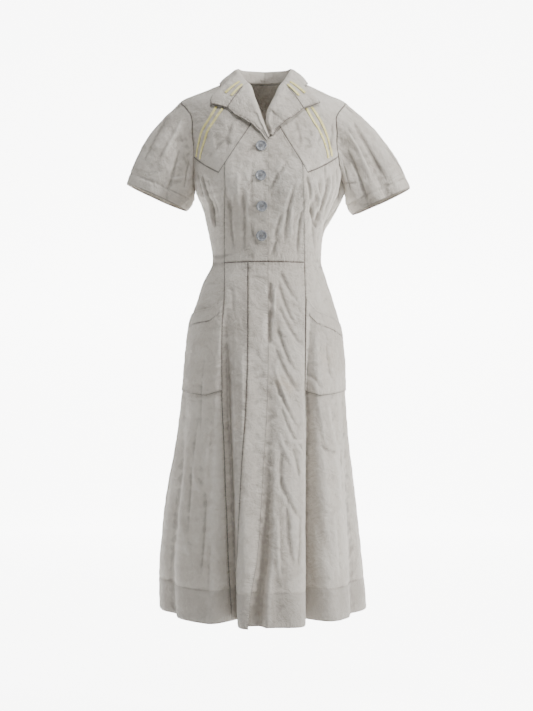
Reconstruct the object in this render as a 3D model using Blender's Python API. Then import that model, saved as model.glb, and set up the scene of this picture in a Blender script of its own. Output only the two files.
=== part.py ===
"""Uniform smock dress in its worn, hollow form: yoke, notchless collar with long points,
princess line side panels, patch pockets and a buttoned front.

Metres, +Z up, the front toward -Y and the wearer's left toward +X. Heights are measured from
the neck point of the shoulder. A place on the cloth is given by its turn round the body (zero
in front, positive toward the wearer's left) and its height.
"""
import math
from collections import namedtuple

import bmesh
import bpy
import numpy as np
from mathutils import Vector

# Cloth and seams
WALL = 0.0012
SEAM_GAP = 0.0003
LAID_ON_GAP = 0.00045
SHARPEST_MITRE = 0.55

FORWARD = np.array([0.0, -1.0, 0.0])

# Steps over which a face's direction is measured, in radians of turn and metres of height
TURN_STEP = 0.010
HEIGHT_STEP = 0.0015

# Heights of the main lines
HEM = -1.172
WAIST = -0.407
NECK_SEAM = 0.011

# Front closing
LAP_EDGE = 0.0085
LAP_OVER = 0.0285
LAP_BLEND = 0.030
LAP_RISE = 0.0011
PLACKET_WIDTH = 0.0450
PLACKET_RISE = 0.0009

# The skirt's opening: its edge drifts to the wearer's right towards the hem, where it stands open
# over a hollow in the left front
LapRow = namedtuple("LapRow", "height edge over hollow_width hollow_depth")
SKIRT_LAP = (
    LapRow(-1.180, -0.0305, 0.0145, 0.0170, 0.0300),
    LapRow(-1.120, -0.0270, 0.0160, 0.0160, 0.0270),
    LapRow(-1.030, -0.0135, 0.0200, 0.0120, 0.0200),
    LapRow(-0.930, -0.0060, 0.0250, 0.0080, 0.0120),
    LapRow(-0.830, -0.0005, LAP_OVER, 0.0060, 0.0060),
    LapRow(-0.730, 0.0060, LAP_OVER, 0.0050, 0.0020),
    LapRow(-0.650, LAP_EDGE, LAP_OVER, 0.0050, 0.0),
    LapRow(-0.407, LAP_EDGE, LAP_OVER, 0.0050, 0.0),
)
HOLLOW_BLEND = 0.020

# Buttons
BUTTON_RADIUS = 0.0118
BUTTON_THICKNESS = 0.0034
BUTTON_RIM = 0.0022
BUTTON_SEAT = 0.0008
BUTTON_PLACES = ((-0.0070, -0.1576), (-0.0078, -0.2232), (-0.0056, -0.2882), (-0.0061, -0.3502))
BUTTON_SIDES = 20
HOLE_RADIUS = 0.0012
HOLE_SPACING = 0.0040

# Braid
BRAID_WIDTH = 0.0062
BRAID_THICKNESS = 0.0010
BRAID_CELLS = 8

Section = namedtuple("Section", "height right left front back power")
BODY = (
    Section(-1.180, 0.235, 0.229, 0.252, 0.214, 2.00),
    Section(-1.060, 0.235, 0.219, 0.230, 0.196, 2.02),
    Section(-0.950, 0.222, 0.207, 0.204, 0.180, 2.05),
    Section(-0.820, 0.201, 0.192, 0.175, 0.161, 2.10),
    Section(-0.700, 0.186, 0.182, 0.153, 0.147, 2.15),
    Section(-0.610, 0.178, 0.179, 0.139, 0.137, 2.20),
    Section(-0.540, 0.168, 0.170, 0.129, 0.125, 2.20),
    Section(-0.480, 0.149, 0.152, 0.116, 0.108, 2.20),
    Section(-0.440, 0.134, 0.139, 0.106, 0.096, 2.20),
    Section(-0.407, 0.118, 0.129, 0.099, 0.088, 2.20),
    Section(-0.370, 0.120, 0.129, 0.102, 0.087, 2.22),
    Section(-0.330, 0.128, 0.136, 0.110, 0.090, 2.28),
    Section(-0.290, 0.137, 0.160, 0.119, 0.095, 2.30),
    Section(-0.243, 0.155, 0.181, 0.126, 0.102, 2.30),
    Section(-0.180, 0.164, 0.177, 0.121, 0.108, 2.28),
    Section(-0.130, 0.172, 0.174, 0.109, 0.110, 2.20),
    Section(-0.090, 0.182, 0.180, 0.096, 0.107, 2.08),
    Section(-0.060, 0.190, 0.185, 0.085, 0.101, 1.90),
    Section(-0.040, 0.189, 0.179, 0.077, 0.095, 1.70),
    Section(-0.027, 0.161, 0.149, 0.071, 0.089, 1.60),
    Section(-0.0135, 0.127, 0.122, 0.065, 0.082, 1.55),
    Section(0.000, 0.094, 0.092, 0.059, 0.074, 1.55),
    Section(0.016, 0.059, 0.058, 0.052, 0.062, 1.80),
)

# The bust's fullness, on each side of the front
BUST_X = 0.082
BUST_HEIGHT = -0.232
BUST_SPREAD_X = 0.050
BUST_SPREAD_Z = 0.062
BUST_DEPTH = 0.015

# Front seams by the distance from the middle plane
PrincessRow = namedtuple("PrincessRow", "height right left")
PRINCESS = (
    PrincessRow(-1.180, -0.090, 0.106),
    PrincessRow(-0.900, -0.093, 0.101),
    PrincessRow(-0.690, -0.095, 0.095),
    PrincessRow(-0.560, -0.093, 0.089),
    PrincessRow(-0.480, -0.088, 0.090),
    PrincessRow(-0.407, -0.088, 0.088),
    PrincessRow(-0.300, -0.087, 0.086),
    PrincessRow(-0.190, -0.086, 0.082),
)

# Armholes, from the shoulder tip down the front, under the arm and up the back
ArmholeRow = namedtuple("ArmholeRow", "right_turn right_height left_turn left_height")
ARMHOLE = (
    ArmholeRow(90.0, -0.036, 90.0, -0.041),
    ArmholeRow(63.0, -0.072, 63.0, -0.074),
    ArmholeRow(66.0, -0.125, 66.0, -0.125),
    ArmholeRow(70.0, -0.171, 66.0, -0.171),
    ArmholeRow(77.0, -0.212, 70.0, -0.210),
    ArmholeRow(90.0, -0.243, 90.0, -0.247),
    ArmholeRow(109.0, -0.210, 110.0, -0.212),
    ArmholeRow(114.0, -0.160, 114.0, -0.162),
    ArmholeRow(115.0, -0.110, 115.0, -0.113),
    ArmholeRow(112.0, -0.067, 112.0, -0.071),
)
YOKE_ARMHOLE_END = 0.30
UNDERARM_SHARE = 0.50
YOKE_ARM_CELLS = 7
SIDE_ARM_CELLS = 4
BACK_ARM_CELLS = 10

# Rows of cells up the panels; a row of the side panels runs along each pocket's bottom and mouth
BELOW_POCKET_ROWS = 8
POCKET_ROWS = 4
ABOVE_POCKET_ROWS = 3
SKIRT_ROWS = BELOW_POCKET_ROWS + POCKET_ROWS + ABOVE_POCKET_ROWS
BODICE_SIDE_ROWS = 8

# Columns of cells across the panels; the yoke and the side panel have a corner on the way
YOKE_LOW_CELLS = 3
YOKE_SEAM_CELLS = 5
YOKE_CORNER_SHARE = 0.40
SIDE_COLUMNS = 10
PRINCESS_COLUMNS = 4
SIDE_CORNER_SHARE = 0.80
FRONT_COLUMNS = 10
RIGHT_SKIRT_COLUMNS = 9
PLACKET_COLUMNS = 3
LEFT_SKIRT_COLUMNS = 13
BACK_SKIRT_COLUMNS = 36
SHOULDER_COLUMNS = YOKE_LOW_CELLS + YOKE_SEAM_CELLS
NECK_COLUMNS = 8

# Points of the front, as distance from the middle plane and height
YOKE_CORNER = {"right": (-0.0995, -0.2146), "left": (0.0942, -0.2161)}
YOKE_TOP_END = {"right": (-0.0125, -0.0810), "left": (0.0105, -0.0756)}
YOKE_NECK = {"right": (-0.0238, -0.0489), "left": (0.0255, -0.0450)}
GORGE = {"right": (-0.0390, -0.0124), "left": (0.0414, -0.0124)}
GORGE_END = {"right": (-0.0810, -0.0696), "left": (0.0850, -0.0715)}
COLLAR_POINT = {"right": (-0.1163, -0.0594), "left": (0.1212, -0.0570)}

# The bodice's neck edge, from the top of the lap to the yoke
NeckRow = namedtuple("NeckRow", "share x height")
FRONT_NECK = {
    "right": (NeckRow(0.0, LAP_EDGE, -0.1370), NeckRow(0.5, -0.0040, -0.1050),
              NeckRow(1.0, *YOKE_TOP_END["right"])),
    "left": (NeckRow(0.0, -0.0100, -0.1500), NeckRow(0.25, 0.0142, -0.1330),
             NeckRow(0.625, 0.0064, -0.1000), NeckRow(1.0, *YOKE_TOP_END["left"])),
}

# The yoke's neck edge: the gorge seam meets it at the third knot
YOKE_NECK_SHARES = (0.0, 3 / 7, 5 / 7, 6 / 7, 1.0)
SIDE_NECK = {"right": (-0.0610, 0.0020), "left": (0.0610, 0.0020)}

# Stations along the whole neck edge, from the top of the lap
YOKE_STATION = 4
GORGE_STATION = 9
SHOULDER_STATION = 11

# Collar and lapels turn over at a roll line and their edges stand off the cloth below by lift
ROLL_BOW = 0.35
ROLL_DROP = 0.0045
ROLL_DROP_SHARE = 0.25
ROLL_SLOPE = 0.58
FALL_KNOTS = (0.0, 0.35, 0.70, 1.0)
FALL_BELLIES = (0.9, 0.8)
GORGE_LIFT = 0.0046
GORGE_BOW = 0.0026
GORGE_BELLY = 0.0060
ROLL_RISE = 0.0046
NECK_GAP = 0.0006
NECK_AXIS = np.array([0.0, 0.006, 0.0])
COLLAR_CORNER = 0.14
COLLAR_SHARES = (0.0, 0.07, COLLAR_CORNER, 0.21, 0.28, 0.38, 0.48, 0.61, 0.74, 0.87, 1.0)
SEAM_SHARES = (0.0, 0.28, 0.48, 0.61, 0.74, 0.87, 1.0)
RollRow = namedtuple("RollRow", "share x y height")
COLLAR_ROLL = (
    RollRow(COLLAR_CORNER, 0.0475, -0.0430, 0.0050),
    RollRow(0.28, 0.0540, -0.0270, 0.0190),
    RollRow(0.48, 0.0590, 0.0060, 0.0350),
    RollRow(0.74, 0.0465, 0.0480, 0.0400),
    RollRow(1.00, 0.0000, 0.0660, 0.0410),
)
FallRow = namedtuple("FallRow", "share turn height lift bow belly")
COLLAR_FALL = (
    FallRow(0.28, 42.0, -0.0306, 0.0046, 0.0018, 0.0050),
    FallRow(0.38, 54.0, -0.0135, 0.0050, 0.0014, 0.0045),
    FallRow(0.48, 91.0, 0.0030, 0.0050, 0.0010, 0.0040),
    FallRow(0.74, 131.0, -0.0080, 0.0050, 0.0008, 0.0040),
    FallRow(1.00, 180.0, -0.0140, 0.0048, 0.0008, 0.0040),
)
POINT_LIFT = 0.0056
POINT_BELLY = 0.0090
LapelRow = namedtuple("LapelRow", "station edge_x edge_height rise lift bow belly")
LAPELS = {
    "right": (
        LapelRow(0.0, 0.0050, -0.1480, 0.0023, 0.0024, 0.0003, 0.0002),
        LapelRow(2.0, -0.0118, -0.1238, 0.0044, 0.0046, 0.0016, 0.0006),
        LapelRow(4.0, -0.0296, -0.1079, 0.0046, 0.0060, 0.0022, 0.0016),
        LapelRow(7.0, -0.0640, -0.0865, 0.0046, 0.0056, 0.0024, 0.0040),
        LapelRow(9.0, *GORGE_END["right"], ROLL_RISE, GORGE_LIFT, GORGE_BOW, GORGE_BELLY),
    ),
    "left": (
        LapelRow(1.0, 0.0190, -0.1350, 0.0034, 0.0026, 0.0008, 0.0004),
        LapelRow(2.5, 0.0285, -0.1195, 0.0042, 0.0046, 0.0014, 0.0008),
        LapelRow(4.0, 0.0430, -0.1050, 0.0046, 0.0060, 0.0022, 0.0018),
        LapelRow(7.0, 0.0660, -0.0882, 0.0046, 0.0056, 0.0024, 0.0040),
        LapelRow(9.0, *GORGE_END["left"], ROLL_RISE, GORGE_LIFT, GORGE_BOW, GORGE_BELLY),
    ),
}

# Sleeves: the hem ring's middle, its half width from the top corner to the underarm, its half
# depth and how far the cap and the cloth below it stand out
SleeveRow = namedtuple("SleeveRow", "middle_x middle_height lean half_width half_depth puff fullness")
SLEEVES = {
    "right": SleeveRow(-0.2420, -0.2566, 24.0, 0.0735, 0.060, 0.013, 0.006),
    "left": SleeveRow(0.2630, -0.2655, 24.5, 0.0705, 0.060, 0.013, 0.006),
}
SLEEVE_ROWS = 8
SLEEVE_SEAM_GAP = 0.0010
CAP_SPLIT = 3
CAP_SHARE = 0.14
TUCK_COUNT = 4
TUCK_SPACING = 0.030
TUCK_DEPTH = 0.0030
TUCK_LENGTH = 0.16

# Sleeve folds by their share of the way round and along
SleeveFold = namedtuple("SleeveFold", "side around_top around_hem width depth_top depth_hem")
SLEEVE_FOLDS = (
    SleeveFold("right", 0.13, 0.17, 0.050, -0.001, -0.006),
    SleeveFold("right", 0.27, 0.32, 0.050, -0.003, -0.006),
    SleeveFold("right", 0.74, 0.80, 0.055, -0.002, -0.006),
    SleeveFold("left", 0.10, 0.21, 0.045, -0.004, -0.010),
    SleeveFold("left", 0.24, 0.34, 0.050, -0.003, -0.007),
    SleeveFold("left", 0.76, 0.70, 0.055, -0.002, -0.006),
)

# Pockets: the mouth falls from the princess seam to the side seam
POCKET_BOTTOM = -0.687
POCKET_MOUTH = -0.484
POCKET_MOUTH_SIDE = {"right": -0.523, "left": -0.5525}
POCKET_COLUMN = 1
POCKET_BELLY = 0.0022

# Braids on the yokes, by distance from the middle plane and height
BRAIDS = {
    "right_yoke_braid_outer": ((-0.1050, -0.0640), (-0.1230, -0.0937), (-0.1372, -0.1171),
                               (-0.1437, -0.1402), (-0.1480, -0.1600), (-0.1490, -0.1735)),
    "right_yoke_braid_inner": ((-0.0915, -0.0690), (-0.1119, -0.0991), (-0.1250, -0.1207),
                               (-0.1325, -0.1441), (-0.1385, -0.1640), (-0.1410, -0.1800)),
    "left_yoke_braid_outer": ((0.1040, -0.0650), (0.1232, -0.0961), (0.1352, -0.1222),
                              (0.1425, -0.1450), (0.1470, -0.1620), (0.1480, -0.1745)),
    "left_yoke_braid_inner": ((0.0920, -0.0690), (0.1086, -0.1002), (0.1241, -0.1262),
                              (0.1325, -0.1480), (0.1380, -0.1660), (0.1400, -0.1800)),
}

# Braids on the collar run beside its gorge end, from near the roll to near the edge
COLLAR_BRAIDS = (("inner", 0.03), ("outer", 0.10))
COLLAR_BRAID_START = 0.12
COLLAR_BRAID_END = 0.62

SIDES = {"right": -1.0, "left": 1.0}

Fold = namedtuple("Fold", "path width_top width_bottom depth_top depth_bottom fade_top fade_bottom")


def smooth_read(heights, values, at):
    """Cubic curve through a table's values, read at any place."""
    order = np.argsort(heights)
    x = np.asarray(heights, float)[order]
    y = np.asarray(values, float)[order]
    slope = np.gradient(y, x)
    at = np.clip(at, x[0], x[-1])
    i = np.clip(np.searchsorted(x, at) - 1, 0, len(x) - 2)
    step = x[i + 1] - x[i]
    q = (at - x[i]) / step
    return ((1 + 2 * q) * (1 - q) ** 2 * y[i] + q * (1 - q) ** 2 * step * slope[i]
            + q * q * (3 - 2 * q) * y[i + 1] + q * q * (q - 1) * step * slope[i + 1])


def ease(q):
    """Zero to one with level ends."""
    q = np.clip(q, 0.0, 1.0)
    return q * q * (3 - 2 * q)


def body_column(name, height):
    return smooth_read([row.height for row in BODY], [getattr(row, name) for row in BODY], height)


def turn_at(x, height):
    """The turn on the front at a distance x from the middle plane."""
    right = body_column("right", height)
    left = body_column("left", height)
    middle = (left - right) / 2
    ratio = np.clip((x - middle) / ((left + right) / 2), -1, 1)
    return np.arcsin(np.sign(ratio) * np.abs(ratio) ** (body_column("power", height) / 2))


def body_x(turn, height):
    """Distance from the middle plane at a turn, before any fold."""
    right = body_column("right", height)
    left = body_column("left", height)
    sine = np.sin(turn)
    reach = np.sign(sine) * np.abs(sine) ** (2 / body_column("power", height))
    return (left - right) / 2 + (left + right) / 2 * reach


def princess_turn(side, height):
    x = smooth_read([row.height for row in PRINCESS], [getattr(row, side) for row in PRINCESS], height)
    return turn_at(x, height)


def princess_path(side, shift, heights=(-0.50, -0.62, -0.76, -0.92, -1.06, -1.18)):
    """Heights and turns along a princess seam, moved sideways by shift metres."""
    path = []
    for height in heights:
        x = smooth_read([row.height for row in PRINCESS], [getattr(row, side) for row in PRINCESS], height)
        path.append((height, float(turn_at(x + shift, height))))
    return path


def turned_path(*rows):
    """Rows of height and turn in degrees."""
    return [(height, math.radians(degrees)) for height, degrees in rows]


# Troughs have a negative depth and ridges a positive one
FOLDS = (
    # skirt, front
    Fold(princess_path("right", 0.010), 0.008, 0.021, 0.0, -0.076, 0.0, 0.0),
    Fold(princess_path("right", 0.052), 0.016, 0.030, 0.0, 0.014, 0.0, 0.0),
    Fold(princess_path("left", 0.008), 0.008, 0.022, 0.0, -0.079, 0.0, 0.0),
    Fold(princess_path("left", -0.045), 0.016, 0.034, 0.0, 0.016, 0.0, 0.0),
    Fold(turned_path((-0.46, -8), (-0.80, -6), (-1.18, -3)), 0.020, 0.040, 0.0, 0.012, 0.0, 0.0),
    # skirt, sides
    Fold(turned_path((-0.66, -70), (-0.90, -66), (-1.18, -63)), 0.018, 0.034, 0.0, -0.020, 0.0, 0.0),
    Fold(turned_path((-0.66, 72), (-0.90, 68), (-1.18, 64)), 0.018, 0.034, 0.0, -0.018, 0.0, 0.0),
    Fold(turned_path((-0.60, 100), (-0.90, 102), (-1.18, 104)), 0.020, 0.034, 0.0, -0.030, 0.0, 0.0),
    Fold(turned_path((-0.60, -98), (-0.90, -101), (-1.18, -104)), 0.020, 0.034, 0.0, -0.026, 0.0, 0.0),
    # skirt, back
    Fold(turned_path((-0.52, 134), (-0.85, 136), (-1.18, 138)), 0.014, 0.030, 0.0, -0.050, 0.0, 0.0),
    Fold(turned_path((-0.52, -136), (-0.85, -139), (-1.18, -141)), 0.014, 0.028, 0.0, -0.046, 0.0, 0.0),
    Fold(turned_path((-0.58, 166), (-0.85, 166), (-1.18, 167)), 0.014, 0.026, 0.0, -0.030, 0.0, 0.0),
    Fold(turned_path((-0.62, -164), (-0.85, -166), (-1.18, -168)), 0.014, 0.026, 0.0, -0.034, 0.0, 0.0),
    # soft pleats below the yoke on the wearer's right
    Fold(turned_path((-0.204, -59), (-0.240, -58), (-0.335, -52)), 0.006, 0.007, -0.0050, -0.0060, 0.020, 0.050),
    Fold(turned_path((-0.200, -65), (-0.240, -66), (-0.300, -66)), 0.006, 0.008, -0.0035, -0.0040, 0.020, 0.050),
    Fold(turned_path((-0.212, -51), (-0.260, -50), (-0.330, -49)), 0.006, 0.007, -0.0030, -0.0050, 0.020, 0.050),
    Fold(turned_path((-0.205, -35), (-0.260, -34), (-0.330, -31)), 0.008, 0.009, -0.0025, -0.0035, 0.030, 0.050),
    # soft pleats below the yoke on the wearer's left
    Fold(turned_path((-0.212, 46), (-0.290, 47), (-0.345, 53)), 0.006, 0.009, -0.0060, -0.0110, 0.020, 0.050),
    Fold(turned_path((-0.206, 53), (-0.270, 53), (-0.330, 59)), 0.006, 0.008, -0.0030, -0.0050, 0.020, 0.050),
    Fold(turned_path((-0.190, 60), (-0.250, 60), (-0.310, 62)), 0.006, 0.008, -0.0030, -0.0040, 0.020, 0.050),
    Fold(turned_path((-0.205, 71), (-0.260, 71), (-0.345, 76)), 0.013, 0.014, -0.0110, -0.0120, 0.030, 0.060),
    Fold(turned_path((-0.195, 32), (-0.230, 26), (-0.260, 19)), 0.007, 0.010, -0.0050, -0.0030, 0.030, 0.040),
    Fold(turned_path((-0.215, 38), (-0.270, 36), (-0.330, 34)), 0.007, 0.009, -0.0035, -0.0030, 0.030, 0.050),
    # slack at the back of the waist
    Fold(turned_path((-0.300, 128), (-0.350, 130), (-0.420, 132)), 0.014, 0.016, -0.0030, -0.0050, 0.040, 0.060),
    Fold(turned_path((-0.300, -128), (-0.350, -131), (-0.420, -133)), 0.014, 0.016, -0.0030, -0.0050, 0.040, 0.060),
    Fold(turned_path((-0.320, 158), (-0.360, 160), (-0.420, 162)), 0.014, 0.016, -0.0020, -0.0040, 0.040, 0.060),
    Fold(turned_path((-0.320, -158), (-0.360, -160), (-0.420, -162)), 0.014, 0.016, -0.0020, -0.0040, 0.040, 0.060),
)


def fold_depth(turn, height, radius):
    """How far the folds move the cloth out at a place."""
    total = np.zeros_like(turn)
    for fold in FOLDS:
        heights = [row[0] for row in fold.path]
        top, bottom = max(heights), min(heights)
        along = np.clip((top - height) / (top - bottom), 0.0, 1.0)
        centre = smooth_read(heights, [row[1] for row in fold.path], height)
        width = fold.width_top + (fold.width_bottom - fold.width_top) * along
        depth = fold.depth_top + (fold.depth_bottom - fold.depth_top) * along
        if fold.fade_top:
            depth = depth * ease((top - height) / fold.fade_top)
        if fold.fade_bottom:
            depth = depth * ease((height - bottom) / fold.fade_bottom)
        across = (turn - centre + math.pi) % (2 * math.pi) - math.pi
        total = total + depth * np.exp(-(across * radius / width) ** 2)
    return total


def skin(turn, height):
    """A point of the garment's outer face."""
    turn, height = np.broadcast_arrays(np.asarray(turn, float), np.asarray(height, float))
    right = body_column("right", height)
    left = body_column("left", height)
    front = body_column("front", height)
    back = body_column("back", height)
    power = body_column("power", height)
    half = (left + right) / 2
    sine, cosine = np.sin(turn), np.cos(turn)
    depth = np.where(cosine > 0, front, back)
    x = body_x(turn, height)
    y = -np.sign(cosine) * depth * np.abs(cosine) ** (2 / power)
    reach_x = (np.abs(x) - BUST_X) / BUST_SPREAD_X
    reach_z = (height - BUST_HEIGHT) / BUST_SPREAD_Z
    y = y - BUST_DEPTH * np.exp(-reach_x ** 2 - reach_z ** 2) * np.clip(cosine, 0, 1) ** 0.5
    out_x, out_y = sine * depth, -cosine * half
    length = np.hypot(out_x, out_y)
    out = fold_depth(turn, height, (half + depth) / 2)
    return np.stack([x + out * out_x / length, y + out * out_y / length, height], axis=-1)


def unit(vectors):
    return vectors / np.linalg.norm(vectors, axis=-1, keepdims=True)


def normal_of(face, turn, height):
    """The outward direction of a face that is given as a rule from turn and height to points."""
    across = face(turn + TURN_STEP, height) - face(turn - TURN_STEP, height)
    up = face(turn, np.asarray(height) + HEIGHT_STEP) - face(turn, np.asarray(height) - HEIGHT_STEP)
    return unit(np.cross(across, up))


def skin_normal(turn, height):
    return normal_of(skin, turn, height)


def lifted_skin(turn, height, lift_rule):
    """The skin moved forward by a rule of distance from the middle plane, before any fold, and height."""
    return skin(turn, height) + FORWARD * lift_rule(body_x(turn, height), height)[..., None]


def on_front(x, height):
    """Turn and height of a front point given by its distance from the middle plane."""
    return float(turn_at(x, height)), height


def armhole(side, share):
    """Turn and height on an armhole at a share of its way round from the shoulder tip."""
    count = len(ARMHOLE)
    turns = [getattr(row, side + "_turn") for row in ARMHOLE]
    heights = [getattr(row, side + "_height") for row in ARMHOLE]
    wrapped = [index / count for index in range(-2, count + 3)]
    turn = smooth_read(wrapped, [turns[index % count] for index in range(-2, count + 3)], share)
    height = smooth_read(wrapped, [heights[index % count] for index in range(-2, count + 3)], share)
    return SIDES[side] * np.radians(turn), height


def line(knots, points):
    """A path that runs through points at given shares, smooth between them."""
    turns = [point[0] for point in points]
    heights = [point[1] for point in points]

    def path(share):
        if len(knots) == 2:
            q = (share - knots[0]) / (knots[1] - knots[0])
            return turns[0] + (turns[1] - turns[0]) * q, heights[0] + (heights[1] - heights[0]) * q
        return smooth_read(knots, turns, share), smooth_read(knots, heights, share)
    return path


def front_line(knots, places):
    """A path on the front through places given by distance from the middle plane and height."""
    def path(share):
        x = smooth_read(knots, [place[0] for place in places], share)
        height = smooth_read(knots, [place[1] for place in places], share)
        return turn_at(x, height), height
    return path


def joined(*pieces):
    """One path from pieces, each given as its first share, last share and path."""
    def path(share):
        share = np.asarray(share, float)
        turn = np.zeros_like(share)
        height = np.zeros_like(share)
        for start, end, piece in pieces:
            here = (share >= start - 1e-9) & (share <= end + 1e-9)
            t, h = piece(share[here])
            turn[here] = t
            height[here] = h
        return turn, height
    return path


def patch(bottom, top, left, right, across, up):
    """Turns and heights of a four-sided panel, blended from its four borders."""
    s, t = np.meshgrid(across, up, indexing="ij")
    grid = []
    for axis in (0, 1):
        b, u = bottom(across)[axis][:, None], top(across)[axis][:, None]
        l, r = left(up)[axis][None, :], right(up)[axis][None, :]
        corners = ((1 - s) * (1 - t) * b[0, 0] + s * (1 - t) * b[-1, 0]
                   + (1 - s) * t * u[0, 0] + s * t * u[-1, 0])
        grid.append((1 - t) * b + t * u + (1 - s) * l + s * r - corners)
    return grid[0], grid[1]


def flat_patch(bottom, top, left, right, across, up, behind=False):
    """As patch, but blended by distance from the middle plane, for panels that end at the shoulder."""
    def flat(path):
        def flat_path(share):
            turn, height = path(share)
            return body_x(turn, height), height
        return flat_path

    x, height = patch(flat(bottom), flat(top), flat(left), flat(right), across, up)
    turn = turn_at(x, height)
    if behind:
        turn = math.pi - turn
    for border, path, shares in ((np.s_[:, 0], bottom, across), (np.s_[:, -1], top, across),
                                 (np.s_[0, :], left, up), (np.s_[-1, :], right, up)):
        turn[border] = path(shares)[0]
    return turn, height


def spaced(cells, crowding=0.0):
    """Shares from zero to one, crowded toward both ends."""
    even = np.linspace(0.0, 1.0, cells + 1)
    return even * (1 - crowding) + (1 - np.cos(math.pi * even)) / 2 * crowding


def pull_in(points, sides, distance=SEAM_GAP / 2):
    """Move a grid's borders square to themselves, to leave the seam's gap."""
    moved = points.copy()
    for side in sides:
        border, inner = {"first": (0, 1), "last": (-1, -2),
                         "bottom": (0, 1), "top": (-1, -2)}[side]
        if side in ("first", "last"):
            edge, inward = points[border], points[inner] - points[border]
        else:
            edge, inward = points[:, border], points[:, inner] - points[:, border]
        tangent = np.gradient(edge, axis=0)
        tangent /= np.linalg.norm(tangent, axis=1, keepdims=True)
        inward = inward - tangent * (inward * tangent).sum(axis=1, keepdims=True)
        inward /= np.linalg.norm(inward, axis=1, keepdims=True)
        if side in ("first", "last"):
            moved[border] += inward * distance
        else:
            moved[:, border] += inward * distance
    return moved


def material(name, colour, roughness):
    made = bpy.data.materials.new(name)
    made.use_nodes = True
    shader = made.node_tree.nodes["Principled BSDF"]
    shader.inputs["Base Color"].default_value = (*colour, 1.0)
    shader.inputs["Roughness"].default_value = roughness
    shader.inputs["Metallic"].default_value = 0.0
    return made


def wall_inner(outer, normal, closed=False):
    """The cloth's inner face, below the outer one in the given directions along its borders and
    square to its own cells between them. It is set deeper under a sharp fold, to keep the wall's
    thickness beside it."""
    columns, rows = outer.shape[:2]
    across = np.roll(outer, -1, axis=0) - outer
    facet = unit(np.cross(across[:, :-1], np.diff(outer, axis=1)))
    if not closed:
        facet = facet[:-1]
    facet *= np.sign((facet * normal[:len(facet), :-1]).sum())
    corners = [np.ix_((np.arange(len(facet)) + i_step) % columns, np.arange(rows - 1) + j_step)
               for i_step in (0, 1) for j_step in (0, 1)]
    total = np.zeros_like(outer)
    for corner in corners:
        total[corner] += facet
    between = np.s_[:, 1:-1] if closed else np.s_[1:-1, 1:-1]
    inward = -normal
    inward[between] = -unit(total[between])
    lean = np.zeros((columns, rows))
    for corner in corners:
        lean[corner] -= (facet * inward[corner]).sum(axis=-1) / 4
    thickness = np.full((columns, rows), WALL)
    thickness[between] /= np.clip(lean[between], SHARPEST_MITRE, 1.0)
    return outer + inward * thickness[..., None]


def cloth_wall(name, outer, inner, finish, collection, closed=False):
    """A wall between two grids of points. Both grids come from one common surface, so
    neighbouring panels keep parallel rims at their seam."""
    columns, rows = outer.shape[:2]
    vertices = np.concatenate([outer.reshape(-1, 3), inner.reshape(-1, 3)])
    inner_start = columns * rows

    def index(i, j, start=0):
        return start + (i % columns) * rows + j

    faces = []
    last = columns if closed else columns - 1
    for i in range(last):
        for j in range(rows - 1):
            for face, order in ((0, 1), (inner_start, -1)):
                corners = [index(i, j, face), index(i + 1, j, face), index(i + 1, j + 1, face),
                           index(i, j + 1, face)]
                faces.append(corners[:3][::order])
                faces.append([corners[0], corners[2], corners[3]][::order])
        for j, order in ((0, 1), (rows - 1, -1)):
            rim = (index(i, j, inner_start), index(i + 1, j, inner_start), index(i + 1, j), index(i, j))
            faces.append(rim[::order])
    if not closed:
        for j in range(rows - 1):
            for i, order in ((0, 1), (columns - 1, -1)):
                rim = (index(i, j), index(i, j + 1), index(i, j + 1, inner_start), index(i, j, inner_start))
                faces.append(rim[::order])
    mesh = bpy.data.meshes.new(name)
    mesh.from_pydata(vertices.tolist(), [], faces)
    mesh.validate()
    shell = bmesh.new()
    shell.from_mesh(mesh)
    bmesh.ops.recalc_face_normals(shell, faces=shell.faces)
    shell.to_mesh(mesh)
    shell.free()
    mesh.shade_smooth()
    made = bpy.data.objects.new(name, mesh)
    made.data.materials.append(finish)
    collection.objects.link(made)


def panel(name, turn, height, finish, collection, lift_rule=None):
    """A garment panel from its turns and heights, moved out level by a lift rule, with the seam's gap
    taken off its borders. Gives back the points of its outer face and their outward directions."""
    def face(t, h):
        return lifted_skin(t, h, lift_rule) if lift_rule else skin(t, h)

    normal = normal_of(face, turn, height)
    outer = pull_in(face(turn, height), ("first", "last", "bottom", "top"))
    cloth_wall(name, outer, wall_inner(outer, normal), finish, collection)
    return outer, normal


def lap_row(name, height):
    return smooth_read([row.height for row in SKIRT_LAP], [getattr(row, name) for row in SKIRT_LAP], height)


def lap_lift(side, x, height=WAIST):
    """The right front lies over the left one: the first is raised and the second sunk, most of
    all in the hollow where the skirt's opening stands open."""
    edge = lap_row("edge", height)
    if side == "right":
        return LAP_RISE * ease((x - (edge - LAP_OVER - LAP_BLEND)) / LAP_BLEND)
    hollow = ease((edge + lap_row("hollow_width", height) + HOLLOW_BLEND - x) / HOLLOW_BLEND)
    return -LAP_RISE * ease((edge + LAP_BLEND - x) / LAP_BLEND) - lap_row("hollow_depth", height) * hollow


def mirrored_turn(side, degrees):
    return SIDES[side] * math.radians(degrees)


def seam_between(first, second):
    """A seam that is straight seen from the front, read by its share of the way."""
    def path(share):
        share = np.asarray(share, float)
        x = first[0] + (second[0] - first[0]) * share
        height = first[1] + (second[1] - first[1]) * share
        return turn_at(x, height), height
    return path


def stretch(path, start, end):
    """The part of a path between two shares, as a path of its own."""
    return lambda share: path(start + (end - start) * np.asarray(share, float))


def stretched(start, end, path):
    """One piece of a joined path: it fills the shares from start to end."""
    return start, end, lambda share: path((np.asarray(share, float) - start) / (end - start))


def yoke_seam(side):
    return seam_between(YOKE_CORNER[side], YOKE_TOP_END[side])


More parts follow.
